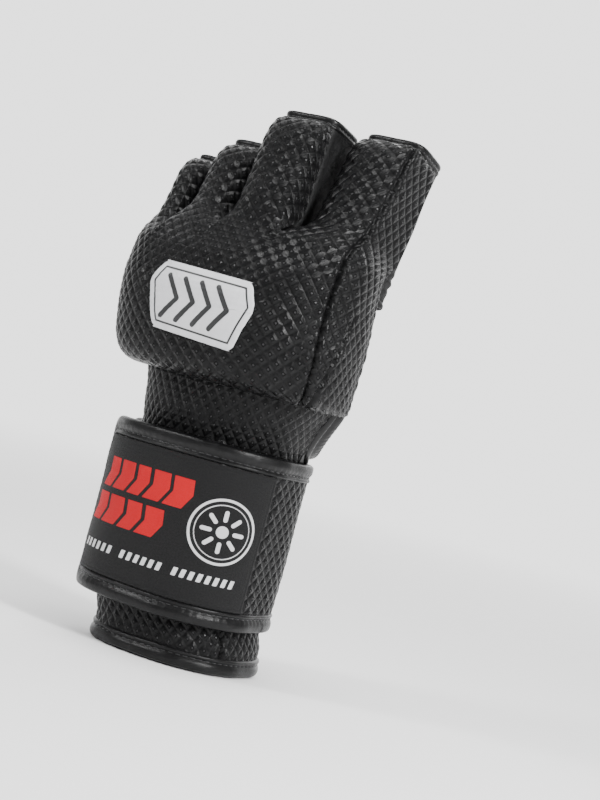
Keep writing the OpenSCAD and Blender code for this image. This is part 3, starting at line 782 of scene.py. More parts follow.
def lobe(f):
    """One finger's pad, which grows out of the knuckle pad's last row."""
    sides = (f["name"] == "pinky", f["name"] == "index")
    hw, hw0 = (f["x1"] - f["x0"] - GAP) / 2, (f["x1"] - f["x0"]) / 2
    angs = np.linspace(-PAD_EDGE, PAD_EDGE, 2400)
    curve = pad_pt(crease_z(angs), 0, angs)
    arc = run_length(curve)
    inner = np.abs(angs) < 84
    mid_a = float(np.interp(f["xm"], curve[inner, 0], angs[inner]))
    mid_arc = float(np.interp(mid_a, angs, arc))
    # Columns from one side to the other: share across, height, angle on the knuckle pad, on a free side
    U, E, A, S = [0.0], [1.0], [mid_a], [False]
    for sign, side in ((-1, sides[0]), (1, sides[1])):
        u, e, share = half_profile(hw, side)
        if side:
            end = arc[-1] if sign > 0 else 0.0
            a = np.interp(mid_arc + (end - mid_arc) * share, arc, angs)
        else:
            a = np.interp(f["xm"] + sign * hw0 * u, curve[inner, 0], angs[inner])
        if sign < 0:
            U, E, A, S = list(-u[::-1]) + U, list(e[::-1]) + E, list(a[::-1]) + A, [side] * len(u) + S
        else:
            U, E, A, S = U + list(u), E + list(e), A + list(a), S + [side] * len(u)
    U, E, A, S = np.array(U), np.array(E), np.array(A), np.array(S)
    mid = int(np.argmin(np.abs(U)))
    # The knuckle pad's last row, and its direction there, scaled to rise along the finger
    C = pad_pt(crease_z(A), 0, A)
    T = C - pad_pt(crease_z(A) - 1.0, 0, A)
    T /= (T @ f["along"])[:, None]
    s0 = (C - hinge_of(f)) @ f["along"]
    end = f["length"] - LOBE_SHORT
    s_round = end - ROUND_S
    n_main = int((s_round - s0.min()) / LOBE_GRID)
    n_round = 22
    s = [s0 + (s_round - s0) * v for v in np.linspace(0, 1, n_main, endpoint=False)]
    s += [np.full(len(U), s_round + ROUND_S * math.sin(t)) for t in np.linspace(0, math.pi / 2, n_round)]
    s = np.array(s)
    rho = np.clip((s - s_round) / ROUND_S, 0, 1)
    c = np.sqrt(np.maximum(0, 1 - rho ** 2))
    height = (10.5 + 9.5 * (1 - s / end)) * c
    tuck = np.where(S[None, :], 0.06, 0.2) * round_over(s, end, 10)
    x = f["xm"] + (hw * (1 - tuck) - 2.0 * round_over(s, end, 3)) * U[None, :]
    t = PAD_BASE + np.where(E[None, :] >= 0, height * E[None, :], WALL * E[None, :])
    # The knuckle pad carried on, melting into the finger's own shape
    L = finger_pt(f, s, x, t)
    ext = C[None] + T[None] * (s - s0[None, :])[..., None]
    k = ease((s - s0[None, :]) / 17.0)[..., None]
    P = ext * (1 - k) + L * k
    p = row_arc(P, mid) + np.interp(mid_a, PAD["ang"], PAD["p"])
    q = col_arc(P) + np.interp(A, PAD["ang"], PAD["q"])[None, :]
    edge = np.where(E >= 0, E, 1.0)[None, :]
    low = ease((edge - 0.12) / 0.5)
    fade = 1 - (1 - low) * k[..., 0]
    h = emboss(p, q) * fade * np.clip(c / 0.25, 0, 1) + waves(P, 0.3)
    h += valley_folds(P)
    if f["name"] == "index":
        # The thumb-side seam goes on along the pad's shoulder
        j = int(np.argmin(np.abs(A - SEAM_A)))
        shoulder = int(np.argmin(np.abs(U - 0.93) + (E < 0.3)))
        run = np.clip((s[:, mid] - s0[mid]) / 40, 0, 1)
        at = p[:, j] * (1 - ease(run)) + p[:, shoulder] * ease(run)
        d = p - at[:, None]
        h = h * (1 - np.exp(-(d / SEAM_HALF) ** 2)) + groove(d, 1.4, 0.75) * np.clip(c / 0.3, 0, 1)
    P = raised(P, h)
    inside = P[0] - normals(P)[0] * 0.3 - T * 0.8
    close = P[-1] - f["out"] * 1.6 - f["along"] * 0.6
    P = np.concatenate([inside[None], P, close[None]])
    pq = pattern_at(np.vstack([p[:1], p, p[-1:]]), np.vstack([q[:1] - 0.8, q, q[-1:] + 1]))
    start = hinge_of(f) + f["along"] * (s0.max() + 0.4)
    stop = hinge_of(f) + f["along"] * (s0.max() + BEND_S)
    n = f["name"]
    build(n + "_pad_cover", sheet_part(P, 0, pq), *EMBOSSED,
          bend=("hand", n + "_stall", start, stop), replaces=(n + "_pad_shell", n + "_pad_foam"), padded=0.85)


for f in FINGERS:
    lobe(f)


# ---------------------------------------------------------------- hand: back panel, palm, openings and lining
HOLE_ANG, HOLE_Z, HOLE_W, HOLE_L = 134.0, 133.0, 19.0, 31.0     # thumb opening: middle and half axes
HOLE_SIDE = np.array([math.cos(math.radians(HOLE_ANG)), math.sin(math.radians(HOLE_ANG))])
HOLE_OUT = np.array([math.sin(math.radians(HOLE_ANG)), -math.cos(math.radians(HOLE_ANG))])
HOLE_CENTRE = np.array([float(hand_x(HOLE_Z)), float(hand_y(HOLE_Z))])
PALM_X0, PALM_X1, PALM_Z, PALM_R = -34.0, 12.0, 128.0, 14.0     # open palm: sides, lower edge, corners
PANEL_Z = 94.5      # lower edge of the back and palm panels, at the cuff


def in_hole(P, grow=0.0):
    """True where a point is in the thumb opening, made larger by grow."""
    d = P[..., :2] - HOLE_CENTRE
    u, out = d @ HOLE_SIDE, d @ HOLE_OUT
    return ((u / (HOLE_W + grow)) ** 2 + ((P[..., 2] - HOLE_Z) / (HOLE_L + grow)) ** 2 < 1) & (out > 0)


def in_palm(P, grow=0.0):
    """True where a point is in the open palm, made larger by grow."""
    x, y, z = P[..., 0], P[..., 1], P[..., 2]
    xm, hw = (PALM_X0 + PALM_X1) / 2, (PALM_X1 - PALM_X0) / 2 + grow
    dx = np.maximum(np.abs(x - xm) - (hw - PALM_R), 0)
    dz = np.maximum(PALM_Z - grow + PALM_R - z, 0)
    return (y > 5) & (dx ** 2 + dz ** 2 < PALM_R ** 2)


def palm_top(ang):
    """Height of the palm leather's upper edge by angle, below the finger sleeves' folds."""
    return np.interp(ang, [104, 120, 160, 200, 240, 256], [171, 170, 168, 165.5, 157, 158])


def quad_centres(P):
    return (P[:-1, :-1] + P[1:, :-1] + P[1:, 1:] + P[:-1, 1:]) / 4


def back_panel():
    """Embossed leather between the pad and the cuff, squeezed where it goes under the strap."""
    ang = arc_cols(lambda a: hand_pt(112, 0, a), -98, 100, GRID, (0.0,))
    z = np.arange(PANEL_Z, 125.6, 0.6)
    P = hand_pt(z[:, None], 0, ang[None, :])
    p, q = row_arc(P, int(np.argmin(np.abs(ang)))), col_arc(P)
    edge = np.minimum(p - p[:, :1], p[:, -1:] - p)
    squeeze = np.exp(-((P[..., 2] - 99) / 5) ** 2)
    wide = p * NARROW
    h = emboss(wide, q) * np.clip(edge / 1.2, 0, 1) + waves(P, 0.5) - 0.35 * squeeze
    h += 0.5 * squeeze * np.sin(p / 4.7 + 1.1) * np.sin(p / 11.0)
    P = raised(P, h)
    build("back_panel_cover", sheet_part(P, 0, pattern_at(wide, q)), *EMBOSSED, "hand",
          replaces=("back_panel",), padded=0.3)


def palm_panel():
    """Smooth leather on the heel and sides of the palm, with its own thickness and lining."""
    ang = arc_cols(lambda a: hand_pt(130, 0, a), 99.5, 262.5, 0.9)
    v = np.linspace(0, 1, 84)[:, None]
    top = palm_top(ang)[None, :]
    z = PANEL_Z + (top - PANEL_Z) * v
    P = hand_pt(z, 0, ang[None, :])
    p, q = row_arc(P), col_arc(P)
    x, zz = P[..., 0], P[..., 2]
    heel = np.exp(-((zz - 112) / 9) ** 2)
    h = waves(P, 0.45) + 0.55 * heel * np.sin(p / 6.3)
    h += 0.25 * np.sin(zz / 2.6 + x / 8) * np.exp(-((zz - 103) / 6) ** 2)
    P = raised(P, h)
    centre = quad_centres(P)
    keep = ~(in_hole(centre, 0.2) | in_palm(centre, 0.2))
    pq = pattern_at(p, q)
    inner = P - normals(P) * 1.3
    rim_top = np.stack([P[-1], inner[-1]])
    build("palm_cover", [sheet_part(P, 0, pq, keep=keep), sheet_part(inner, 1, pq, keep=keep, flip=True),
                         sheet_part(rim_top, 0, np.stack([pq[-1], pq[-1]]))],
          [M_SMOOTH, M_LINING], "smooth_leather", "hand", replaces=("palm_panel",), padded=0.3)


def inner_lining():
    """Fabric inside the hand and the cuff, in one tube."""
    z = np.concatenate([np.arange(6.0, 97, 3.0), np.arange(98, 178, 1.5)])
    ang = np.linspace(0, 360, 220, endpoint=False)
    cuff = cuff_pt(z[:, None], -5.2, ang[None, :])
    hand = hand_pt(z[:, None], -2.3, ang[None, :])
    k = ease((z - 92) / 12)[:, None, None]
    P = cuff * (1 - k) + hand * k
    top = np.interp(ang, [0, 80, 104, 120, 160, 200, 240, 256, 285, 360],
                    [175, 175, 171, 168, 166, 163, 155, 156, 165, 175])
    P[..., 2] = np.minimum(P[..., 2], top[None, :])
    p, q = row_arc(P), col_arc(P)
    P = raised(P, waves(P, 0.35) + 0.5 * np.sin(p / 5.3 + 1) * np.sin(q / 7.9), True)
    wrapped = np.concatenate([P, P[:, :1]], 1)
    centre = quad_centres(wrapped)
    keep = ~(in_hole(centre, 0.6) | in_palm(centre, 0.6))
    keep &= wrapped[1:, :-1, 2] - wrapped[:-1, :-1, 2] > 0.05
    build("inner_lining", sheet_part(P, 0, pattern_at(p, q), wrap_c=True, keep=keep, flip=True), [M_LINING],
          "lining_fabric", "hand", replaces=("hand_lining", "cuff_lining"))


back_panel()
palm_panel()
inner_lining()


# ---------------------------------------------------------------- bound edges
def sweep(surface, path, prof, height, closed=False):
    """Section prof carried along a path of (across, up); its distances are to the left of the path.
    surface(across, up, height) gives points."""
    at = path[:, None] + left_of(path, closed)[:, None] * prof[None, :, :1]
    return surface(at[..., 0], at[..., 1], height)


def tube(G, arc, profile, ring=False, flip=False):
    """Closed tube from a grid whose rows are the profile, carried along a path with these lengths."""
    return sheet_part(G, 0, pattern_at(arc[:, None], run_length(profile)[None, :]), wrap_c=True, wrap_r=ring,
                      flip=flip)


def bound_edge(surface, path, profile, wobble, caps=False):
    """A binding whose profile is (inward distance, height). The path has the bound area on its left."""
    prof = closed_profile(profile)
    inset, rise = prof[None, :, 0], prof[None, :, 1]
    arc = run_length(path)
    pucker = np.sin(arc * 2 * math.pi / STITCH_PITCH)[:, None] * np.exp(-((inset - 5.2) / 1.6) ** 2)
    wave = wobble * (np.sin(arc / 6.1) + 0.6 * np.sin(arc / 2.9 + 1.3))[:, None]
    wave = wave * np.exp(-((inset - 2.0) / 2.2) ** 2)
    G = sweep(surface, path, prof, rise * (1 + wobble * 0.35 * pucker) + wave * (rise > 1.5))
    parts = [tube(G, arc, prof, flip=True)]
    if caps:
        for ring, flip in ((G[0], True), (G[-1], False)):
            half = len(ring) // 2
            parts.append(sheet_part(np.stack([ring[:half], ring[::-1][:half]]), flip=flip))
    return parts


def stitches_on(surface, path, inset, height, closed=False):
    """Stitches along a path on a surface, this far to the left of the path and this high."""
    across, up = (path + left_of(path, closed) * inset).T
    base = surface(across, up, height)
    return stitch_line(base, unit(surface(across, up, height + 1.0) - base), 1, closed=closed)


# Cuff, with its seam on the thumb side
CUFF_SEAM = 66.0


def cuff():
    """Embossed cuff; under the strap it is squeezed in."""
    ang = arc_cols(lambda a: cuff_pt(15, 0, a), CUFF_SEAM, CUFF_SEAM + 360, 0.75)
    z = np.arange(6.6, 99.4, 0.75)
    P = cuff_pt(z[:, None], 0, ang[None, :])
    p, q = row_arc(P), col_arc(P)
    seam = np.minimum(p, p[:, -1:] - p)
    under = np.clip((P[..., 2] - 20) / 3, 0, 1) * np.clip((96 - P[..., 2]) / 3, 0, 1)
    wide = p * NARROW
    h = (emboss(wide, q) - 0.5 * under) * np.clip(seam / SEAM_HALF, 0, 1) + groove(seam, 1.3, 0.7)
    h += waves(P, 0.4) * (1 - under)
    P = raised(P, h)
    P[:, -1] = P[:, 0]
    build("cuff_cover", sheet_part(P, 0, pattern_at(wide, q)), *EMBOSSED, "hand",
          replaces=("cuff_shell", "cuff_foam"), padded=0.3)


# Section of the hem's binding: (height, distance off the cuff)
HEM = [(-0.2, -4.9), (-0.05, -3.2), (0.05, -1.2), (0.35, 0.5), (1.3, 1.35), (2.7, 1.55), (4.1, 1.3),
       (5.0, 0.75), (5.45, 0.5), (5.9, 0.85), (6.5, 1.15), (7.2, 0.95), (7.8, 0.1), (7.9, -1.4), (6.8, -4.4),
       (4.0, -5.4), (1.2, -5.5)]


def hem():
    """Folded binding round the cuff's hem, a little wavy."""
    ang = arc_cols(lambda a: cuff_pt(4, 0, a), 0, 360, 1.0)[:-1]
    prof = closed_profile(HEM)
    arc = run_length(cuff_pt(4, 0, ang))
    up, out = prof[None, :, 0], prof[None, :, 1]
    wave = 0.12 * (np.sin(arc / 5.7) + np.sin(arc / 2.6 + 1))[:, None] * (out > 0.4)
    z = np.maximum(up, 0.02) + 0.25 * np.sin(arc / 13)[:, None] * np.clip(up / 7, 0, 1)
    G = cuff_pt(z, out + wave, ang[:, None])
    path = cuff_pt(5.45 + 0.2 * np.sin(arc / 13), 0.62, ang)
    n = cuff_pt(5.45, 1.6, ang) - cuff_pt(5.45, 0.6, ang)
    build("cuff_hem", [tube(G, arc, prof, ring=True), stitch_line(path, unit(n), 1, closed=True)],
          *BOUND, "hand", replaces=("cuff_hem_binding",), padded=0.4)


cuff()
hem()

# Thumb opening: a fat roll with a thin stitched ridge round it
def hand_surface_from_side(across, up, height):
    """Point on the hand's leather seen along the thumb opening's own direction, height off the leather."""
    across, up, height = np.broadcast_arrays(across, up, height)
    lo, hi = np.zeros(across.shape), np.full(across.shape, 90.0)
    a, b, hx, hy = hand_a(up) + height, hand_palm(up) + height, hand_x(up), hand_y(up)
    for _ in range(30):
        r = (lo + hi) / 2
        x = HOLE_CENTRE[0] + HOLE_SIDE[0] * across + HOLE_OUT[0] * r - hx
        y = HOLE_CENTRE[1] + HOLE_SIDE[1] * across + HOLE_OUT[1] * r - hy
        depth = np.where(y > 0, b, hand_back(up) + height)
        outside = np.abs(x / a) ** HAND_N + np.abs(y / depth) ** HAND_N > 1
        lo, hi = np.where(outside, lo, r), np.where(outside, r, hi)
    return np.stack([x + hx, y + hy, up], -1)


ROLL = [(-1.9, -0.6), (-2.3, 1.0), (-1.5, 2.5), (0.1, 3.1), (1.7, 2.4), (2.6, 1.1), (3.1, 0.75), (3.6, 1.15),
        (4.3, 1.45), (4.9, 1.1), (5.4, 0.1), (4.4, -0.9), (1.5, -1.6), (-0.6, -1.6)]


def thumb_roll():
    """Roll round the thumb opening. Its path has the opening on the right, so distances grow outwards."""
    t = np.linspace(0, 2 * math.pi, 360, endpoint=False)[::-1]
    path = np.stack([(HOLE_W + 0.6) * np.cos(t), HOLE_Z + (HOLE_L + 0.6) * np.sin(t)], 1)
    prof = closed_profile(ROLL)
    inset, rise = prof[None, :, 0], prof[None, :, 1]
    arc = run_length(path)
    gathers = 0.22 * (np.abs(np.sin(t))[:, None] ** 2) * np.sin(arc * 2 * math.pi / 2.3)[:, None]
    gathers = gathers * np.exp(-((inset - 0.6) / 1.6) ** 2) * (rise > 0.5)
    G = sweep(hand_surface_from_side, path, prof, rise + gathers, closed=True)
    build("thumb_hole_binding", [tube(G, arc, prof, ring=True),
                                 stitches_on(hand_surface_from_side, path, 3.1, 0.85, closed=True)],
          *BOUND, "hand", replaces=("thumb_hole_piping",), padded=0.7)


thumb_roll()


def palm_surface(across, up, height):
    """Point on the palm's leather at x = across and z = up, height above it."""
    across, up, height = np.broadcast_arrays(across, up, height)
    a, b = hand_a(up) + height, hand_palm(up) + height
    share = np.clip(1 - np.abs((across - hand_x(up)) / a) ** HAND_N, 0, 1)
    return np.stack([across, hand_y(up) + b * share ** (1 / HAND_N), up], -1)


PALM_ROLL = [(-1.0, -0.9), (-1.45, 0.3), (-0.9, 1.5), (0.3, 1.85), (1.5, 1.4), (2.1, 0.75), (2.5, 0.6),
             (2.9, 0.85), (3.4, 0.95), (3.9, 0.5), (3.9, -0.3), (2.4, -1.3), (0.2, -1.6)]


def palm_binding():
    """Binding of the palm leather's upper edge and of the open palm, left out under the thumb roll."""
    r = PALM_R
    top_l, top_r = 157.5, 167.0
    pts = [(-45.5, 158.0), (-41, top_l), (PALM_X0 - 1.5, top_l - 0.4), (PALM_X0, top_l - 3), (PALM_X0, 150)]
    pts += [(PALM_X0 + r - r * math.cos(t), PALM_Z + r - r * math.sin(t))
            for t in np.linspace(0.15, math.pi / 2, 5)]
    pts += [(-10, PALM_Z)]
    pts += [(PALM_X1 - r + r * math.sin(t), PALM_Z + r - r * math.cos(t))
            for t in np.linspace(0, math.pi / 2 - 0.15, 5)]
    pts += [(PALM_X1, 150), (PALM_X1, top_r - 3), (PALM_X1 + 1.5, top_r - 0.2), (25, top_r + 0.7),
            (36, top_r + 2.0), (44, 170.5)]
    path = smooth_path(pts[::-1], 1.0)
    parts = []
    under_roll = in_hole(palm_surface(path[:, 0], path[:, 1], 0.0), 2.4)
    for run in np.split(np.arange(len(path)), np.flatnonzero(np.diff(under_roll)) + 1):
        if not under_roll[run[0]] and len(run) >= 8:
            parts += bound_edge(palm_surface, path[run], PALM_ROLL, 0.06, caps=True)
            parts.append(stitches_on(palm_surface, path[run], 2.5, 0.68))
    build("palm_edge_binding", parts, *BOUND, "hand", padded=0.5)


palm_binding()


# ---------------------------------------------------------------- wrist strap
SIDE_A, PALM_A, FLAP_END, ANCHOR_END = 88.0, 146.0, -66.0, 306.0    # angles of its two folds and two ends
STRAP_Z, STRAP_H = 20.0, 77.0   # lower edge and height
STRAP_MID = STRAP_Z + STRAP_H / 2
FACE = 4.0                      # height off the wrist at which distances along the strap are measured


def strap_in(ang):
    """Clearance of the strap's inner face from the cuff: the flap lies over the anchored part."""
    flap = 1.4 + 4.8 * (SIDE_A - ang) / (SIDE_A - FLAP_END)
    k = ease((ang - (SIDE_A - 9)) / 16)
    return flap * (1 - k) + 0.5 * k


STRAP_ANG = np.arange(-80, 330, 0.25)
STRAP_ARC = run_length(wrist_pt(0, FACE, STRAP_ANG))
STRAP_ARC -= np.interp(0, STRAP_ANG, STRAP_ARC)


def arc_of(ang):
    """Distance along the strap at an angle round the wrist."""
    return np.interp(ang, STRAP_ANG, STRAP_ARC)


def strap_surface(across, up, height):
    """Point of the strap at arc length across, height up, and height off the strap's inner face."""
    across, up, height = np.broadcast_arrays(across, up, height)
    ang = np.interp(across, STRAP_ARC, STRAP_ANG)
    soft = 0.28 * np.sin(across / 17 + up / 29) + 0.18 * np.sin(across / 7.3 - up / 15 + 1.0)
    z = up + 0.35 * np.sin(across / 23 + 0.6) * (up - STRAP_MID) / (STRAP_H / 2)
    return wrist_pt(z, strap_in(ang) + height + soft * 0.6, ang)


STRAP_T = 3.4   # thickness
# Section of the strap's bindings: (distance in from the edge, height off the inner face)
BIND = [(0.0, 1.6), (0.1, 2.9), (0.8, 3.95), (2.2, 4.3), (3.8, 4.25), (5.0, 3.8), (5.6, 3.45), (6.05, 3.3),
        (6.5, 3.55), (7.1, 3.95), (7.7, 3.9), (8.2, 3.4), (8.3, 2.4), (8.0, 0.6), (6.0, -0.05), (3.0, -0.15),
        (0.8, 0.1), (0.15, 0.8)]


def strap_panel(a0, a1):
    """Embossed face of the strap between two angles, with its back."""
    n = int(round((arc_of(a1) - arc_of(a0)) / GRID))
    across = np.linspace(arc_of(a0), arc_of(a1), n + 1)
    up = np.arange(STRAP_Z + 7.4, STRAP_Z + STRAP_H - 7.3, GRID)
    A, U = np.meshgrid(across, up)
    h = emboss(A, U - STRAP_MID) - 0.35
    h = h + 0.25 * np.sin(A / 8.1) * np.sin(U / 9.7)
    pq = pattern_at(A, U - STRAP_MID)
    back = strap_surface(A[::3, ::3], U[::3, ::3], 0.1)
    return [sheet_part(strap_surface(A, U, STRAP_T + h), 0, pq), sheet_part(back, 1, pq[::3, ::3], flip=True)]


def strap_bindings(a0, a1, end=None):
    """Both long edges, or one binding that also goes round the end at angle a0 ("low") or a1 ("high")."""
    s0, s1 = arc_of(a0), arc_of(a1)
    z0, z1, r = STRAP_Z, STRAP_Z + STRAP_H, 12.0    # r is the radius of the end's corners
    corner = np.linspace(0, math.pi / 2, 16)
    if end == "low":
        pts = [(s1, z1), (s0 + r + 6, z1)]
        pts += [(s0 + r - r * math.sin(t), z1 - r + r * math.cos(t)) for t in corner]
        pts += [(s0, STRAP_MID)]
        pts += [(s0 + r - r * math.cos(t), z0 + r - r * math.sin(t)) for t in corner]
        paths = [pts + [(s0 + r + 6, z0), (s1, z0)]]
    elif end == "high":
        pts = [(s0, z0), (s1 - r - 6, z0)]
        pts += [(s1 - r + r * math.sin(t), z0 + r - r * math.cos(t)) for t in corner]
        pts += [(s1, STRAP_MID)]
        pts += [(s1 - r + r * math.cos(t), z1 - r + r * math.sin(t)) for t in corner]
        paths = [pts + [(s1 - r - 6, z1), (s0, z1)]]
    else:
        paths = [[(s0, z0), ((s0 + s1) / 2, z0), (s1, z0)], [(s1, z1), ((s0 + s1) / 2, z1), (s0, z1)]]
    parts = []
    for pts in paths:
        path = smooth_path(pts, 1.1, curved=False)
        parts += bound_edge(strap_surface, path, BIND, 0.13)
        parts.append(stitches_on(strap_surface, path, 6.05, 3.38))
    return parts


def fold_line(ang, before, after):
    """Start and end points for a bend across the fold at this angle, before and after it along the strap."""
    mid = wrist_pt(STRAP_MID, FACE, ang)
    ahead = wrist_pt(STRAP_MID, FACE, ang - 1.0) - wrist_pt(STRAP_MID, FACE, ang + 1.0)
    ahead /= np.linalg.norm(ahead)
    return mid - ahead * before, mid + ahead * after


AT_PALM, AT_SIDE = fold_line(PALM_A, 4.0, 6.0), fold_line(SIDE_A, 5.0, 6.0)


def strap():
    """The anchored part, the thumb-side part and the flap, parted a little past the folds they bend at."""
    split_palm, split_side = PALM_A + 7, SIDE_A + 10
    at_palm = dict(bend=("hand", "strap_side", *AT_PALM))
    at_side = dict(bend=("strap_side", "strap_flap", *AT_SIDE))
    for name, start, panel_start, stop, end, move in (
            ("anchor", split_palm, split_palm, ANCHOR_END, "high", dict(body="hand")),
            ("side", split_side, split_side, split_palm, None, at_palm),
            ("flap", FLAP_END, FLAP_END + 0.5, split_side, "low", at_side)):
        edges = ("top", "bottom", "end") if name == "flap" else ("top", "bottom")
        build(f"strap_{name}_cover", strap_panel(panel_start, stop), [M_EMB, M_SMOOTH], "embossed_leather",
              replaces=(f"strap_{name}_panel",), padded=0.5, **move)
        build(f"strap_{name}_binding", strap_bindings(start, stop, end), *BOUND,
              replaces=[f"strap_{name}_{edge}_binding" for edge in edges], padded=0.5, **move)


strap()


def rim(top, bottom, pq):
    """Strips that join two grids round their four sides."""
    sides = ((0, True), (-1, False), ((slice(None), 0), False), ((slice(None), -1), True))
    return [sheet_part(np.stack([top[at], bottom[at]]), 0, np.stack([pq[at], pq[at]]), flip=flip)
            for at, flip in sides]


def wrist_surface(across, up, height):
    """Point off the cuff, at a distance across that is measured along the strap."""
    return wrist_pt(up, height, np.interp(across, STRAP_ARC, STRAP_ANG))


def patches():
    """The loop patch on the cuff and the hook patch in the flap, as thin closed slabs."""
    for name, body, mat, a0, a1, half, surface, high, low in (
            ("loop", "hand", M_LOOP, -46, 50, 28.3, wrist_surface, 0.8, 0.1),
            ("hook", "strap_flap", M_HOOK, -44, 40, 26.3, strap_surface, -0.05, -0.85)):
        A, U = np.meshgrid(np.linspace(arc_of(a0), arc_of(a1), 90),
                           np.linspace(STRAP_MID - half, STRAP_MID + half, 56))
        top, bottom, pq = surface(A, U, high), surface(A, U, low), pattern_at(A, U)
        parts = [sheet_part(top, 0, pq), sheet_part(bottom, 0, pq, flip=True)] + rim(top, bottom, 0 * pq)
        build(f"{name}_patch_cover", parts, [mat], f"{name}_tape", body, replaces=(f"{name}_patch",))


patches()


# ---------------------------------------------------------------- marks
FAR = 9.0   # distance kept where there is no mark


def segment_distance(x, y, a, b):
    e = b - a
    t = np.clip(((x - a[0]) * e[0] + (y - a[1]) * e[1]) / (e @ e), 0, 1)
    return np.hypot(x - a[0] - e[0] * t, y - a[1] - e[1] * t)


def polygon_distance(x, y, corners):
    """Signed distance to a closed outline, negative inside."""
    c = np.asarray(corners, float)
    best, inside = np.full(x.shape, 1e9), np.zeros(x.shape, bool)
    for a, b in zip(c, np.roll(c, -1, 0)):
        e = b - a
        best = np.minimum(best, segment_distance(x, y, a, b))
        inside ^= ((a[1] > y) != (b[1] > y)) & (x < e[0] * (y - a[1]) / (e[1] if e[1] else 1e-9) + a[0])
    return np.where(inside, -best, best)


def line_distance(x, y, points, half):
    """Signed distance to a band of this half width along an open line."""
    points = np.asarray(points, float)
    return np.min([segment_distance(x, y, a, b) for a, b in zip(points[:-1], points[1:])], axis=0) - half


def set_marks(obj, layers):
    """Keeps each layer's distances with the mesh, on the points of its first grid."""
    mesh = obj.data
    values = np.full((len(mesh.vertices), 3), FAR, np.float32)
    for k, layer in enumerate(layers):
        values[:len(layer), k] = layer
    mesh.attributes.new("marks", "FLOAT_VECTOR", "POINT").data.foreach_set("vector", values.ravel())


def label_layers(x, y):
    """Red slanted bars in two rows, a white ring with rays round a dot, and a row of white dashes."""
    red = np.full(x.shape, FAR)
    slant, notch = 0.22, 2.2
    for mid, height, starts, widths in (
            (14.0, 13.0, (-37.5, -29.3, -20.2, -12.4, -3.2), (6.6, 7.4, 6.0, 7.6, 8.6)),
            (-1.5, 12.5, (-37.5, -27.6, -17.4, -8.6), (8.2, 8.4, 7.0, 8.2))):
        y0, y1 = mid - height / 2, mid + height / 2
        for x0, w in zip(starts, widths):
            corners = [(x0 + slant * y0, y0), (x0 + w + slant * y0, y0), (x0 + w + slant * mid + notch, mid),
                       (x0 + w + slant * y1, y1), (x0 + slant * y1, y1), (x0 + slant * mid + notch, mid)]
            red = np.minimum(red, polygon_distance(x, y, corners))
    cx, cy, r = 25.5, 2.5, 13.6
    d = np.hypot(x - cx, y - cy)
    white = np.abs(d - r) - 0.55
    white = np.minimum(white, np.abs(d - r + 2.2) - 0.22)
    white = np.minimum(white, d - 2.6)
    for turn in np.radians(np.arange(0, 360, 45)):
        ray = [(cx + reach * math.cos(turn), cy + reach * math.sin(turn)) for reach in (5.2, 8.4)]
        white = np.minimum(white, line_distance(x, y, ray, 0.9))
    for i in range(22):
        if i not in (6, 13):
            x0 = -38.0 + i * 3.42
            dash = [(x0, -20.2), (x0 + 1.9, -20.2), (x0 + 2.6, -16.6), (x0 + 0.7, -16.6)]
            white = np.minimum(white, polygon_distance(x, y, dash))
    return red, white


LABEL_A0, LABEL_A1 = FLAP_END + 8.0, 74.0
LABEL_Z0, LABEL_Z1 = 28.6, 88.4


def label():
    """Woven label sewn to the flap, with a dent along its stitching."""
    s0, s1 = arc_of(LABEL_A0), arc_of(LABEL_A1)
    A, U = np.meshgrid(np.arange(s0, s1 + 0.2, 0.4), np.linspace(LABEL_Z0, LABEL_Z1, 150))
    edge = np.minimum(np.minimum(A - A.min(), A.max() - A), np.minimum(U - U.min(), U.max() - U))
    lift = STRAP_T + 0.42 + 0.28 * np.clip(edge / 0.7, 0, 1) ** 0.5
    lift = lift - 0.16 * np.exp(-((edge - 1.6) / 0.35) ** 2)
    P = strap_surface(A, U, lift + 0.12 * np.sin(A / 9.3) * np.sin(U / 12.1))
    pq = pattern_at(A, U)
    obj = build("woven_label_cover", [sheet_part(P, 0, pq)] + rim(P, strap_surface(A, U, STRAP_T - 0.05), pq),
                [M_LABEL], "label_weave", bend=("strap_side", "strap_flap", *AT_SIDE),
                replaces=("woven_label",))
    x, y = (A - (s0 + s1) / 2).ravel(), (U - STRAP_MID).ravel()
    set_marks(obj, label_layers(x, y))


label()


def rounded(corners, r):
    """Outline with rounded corners."""
    c, out = np.asarray(corners, float), []
    for a, b, d in zip(np.roll(c, 1, 0), c, np.roll(c, -1, 0)):
        u, v = (a - b) / np.linalg.norm(a - b), (d - b) / np.linalg.norm(d - b)
        for t in np.linspace(0, 1, 7):
            out.append((b + u * r) * (1 - t) ** 2 + 2 * b * t * (1 - t) + (b + v * r) * t ** 2)
    return np.array(out)


EMBLEM_A, EMBLEM_Z = 0.5, 151.0
EMBLEM_OUTLINE = [(-27, 6), (-22, 15.5), (23, 14.5), (27.5, 4), (21, -15.5), (-20.5, -13.5)]


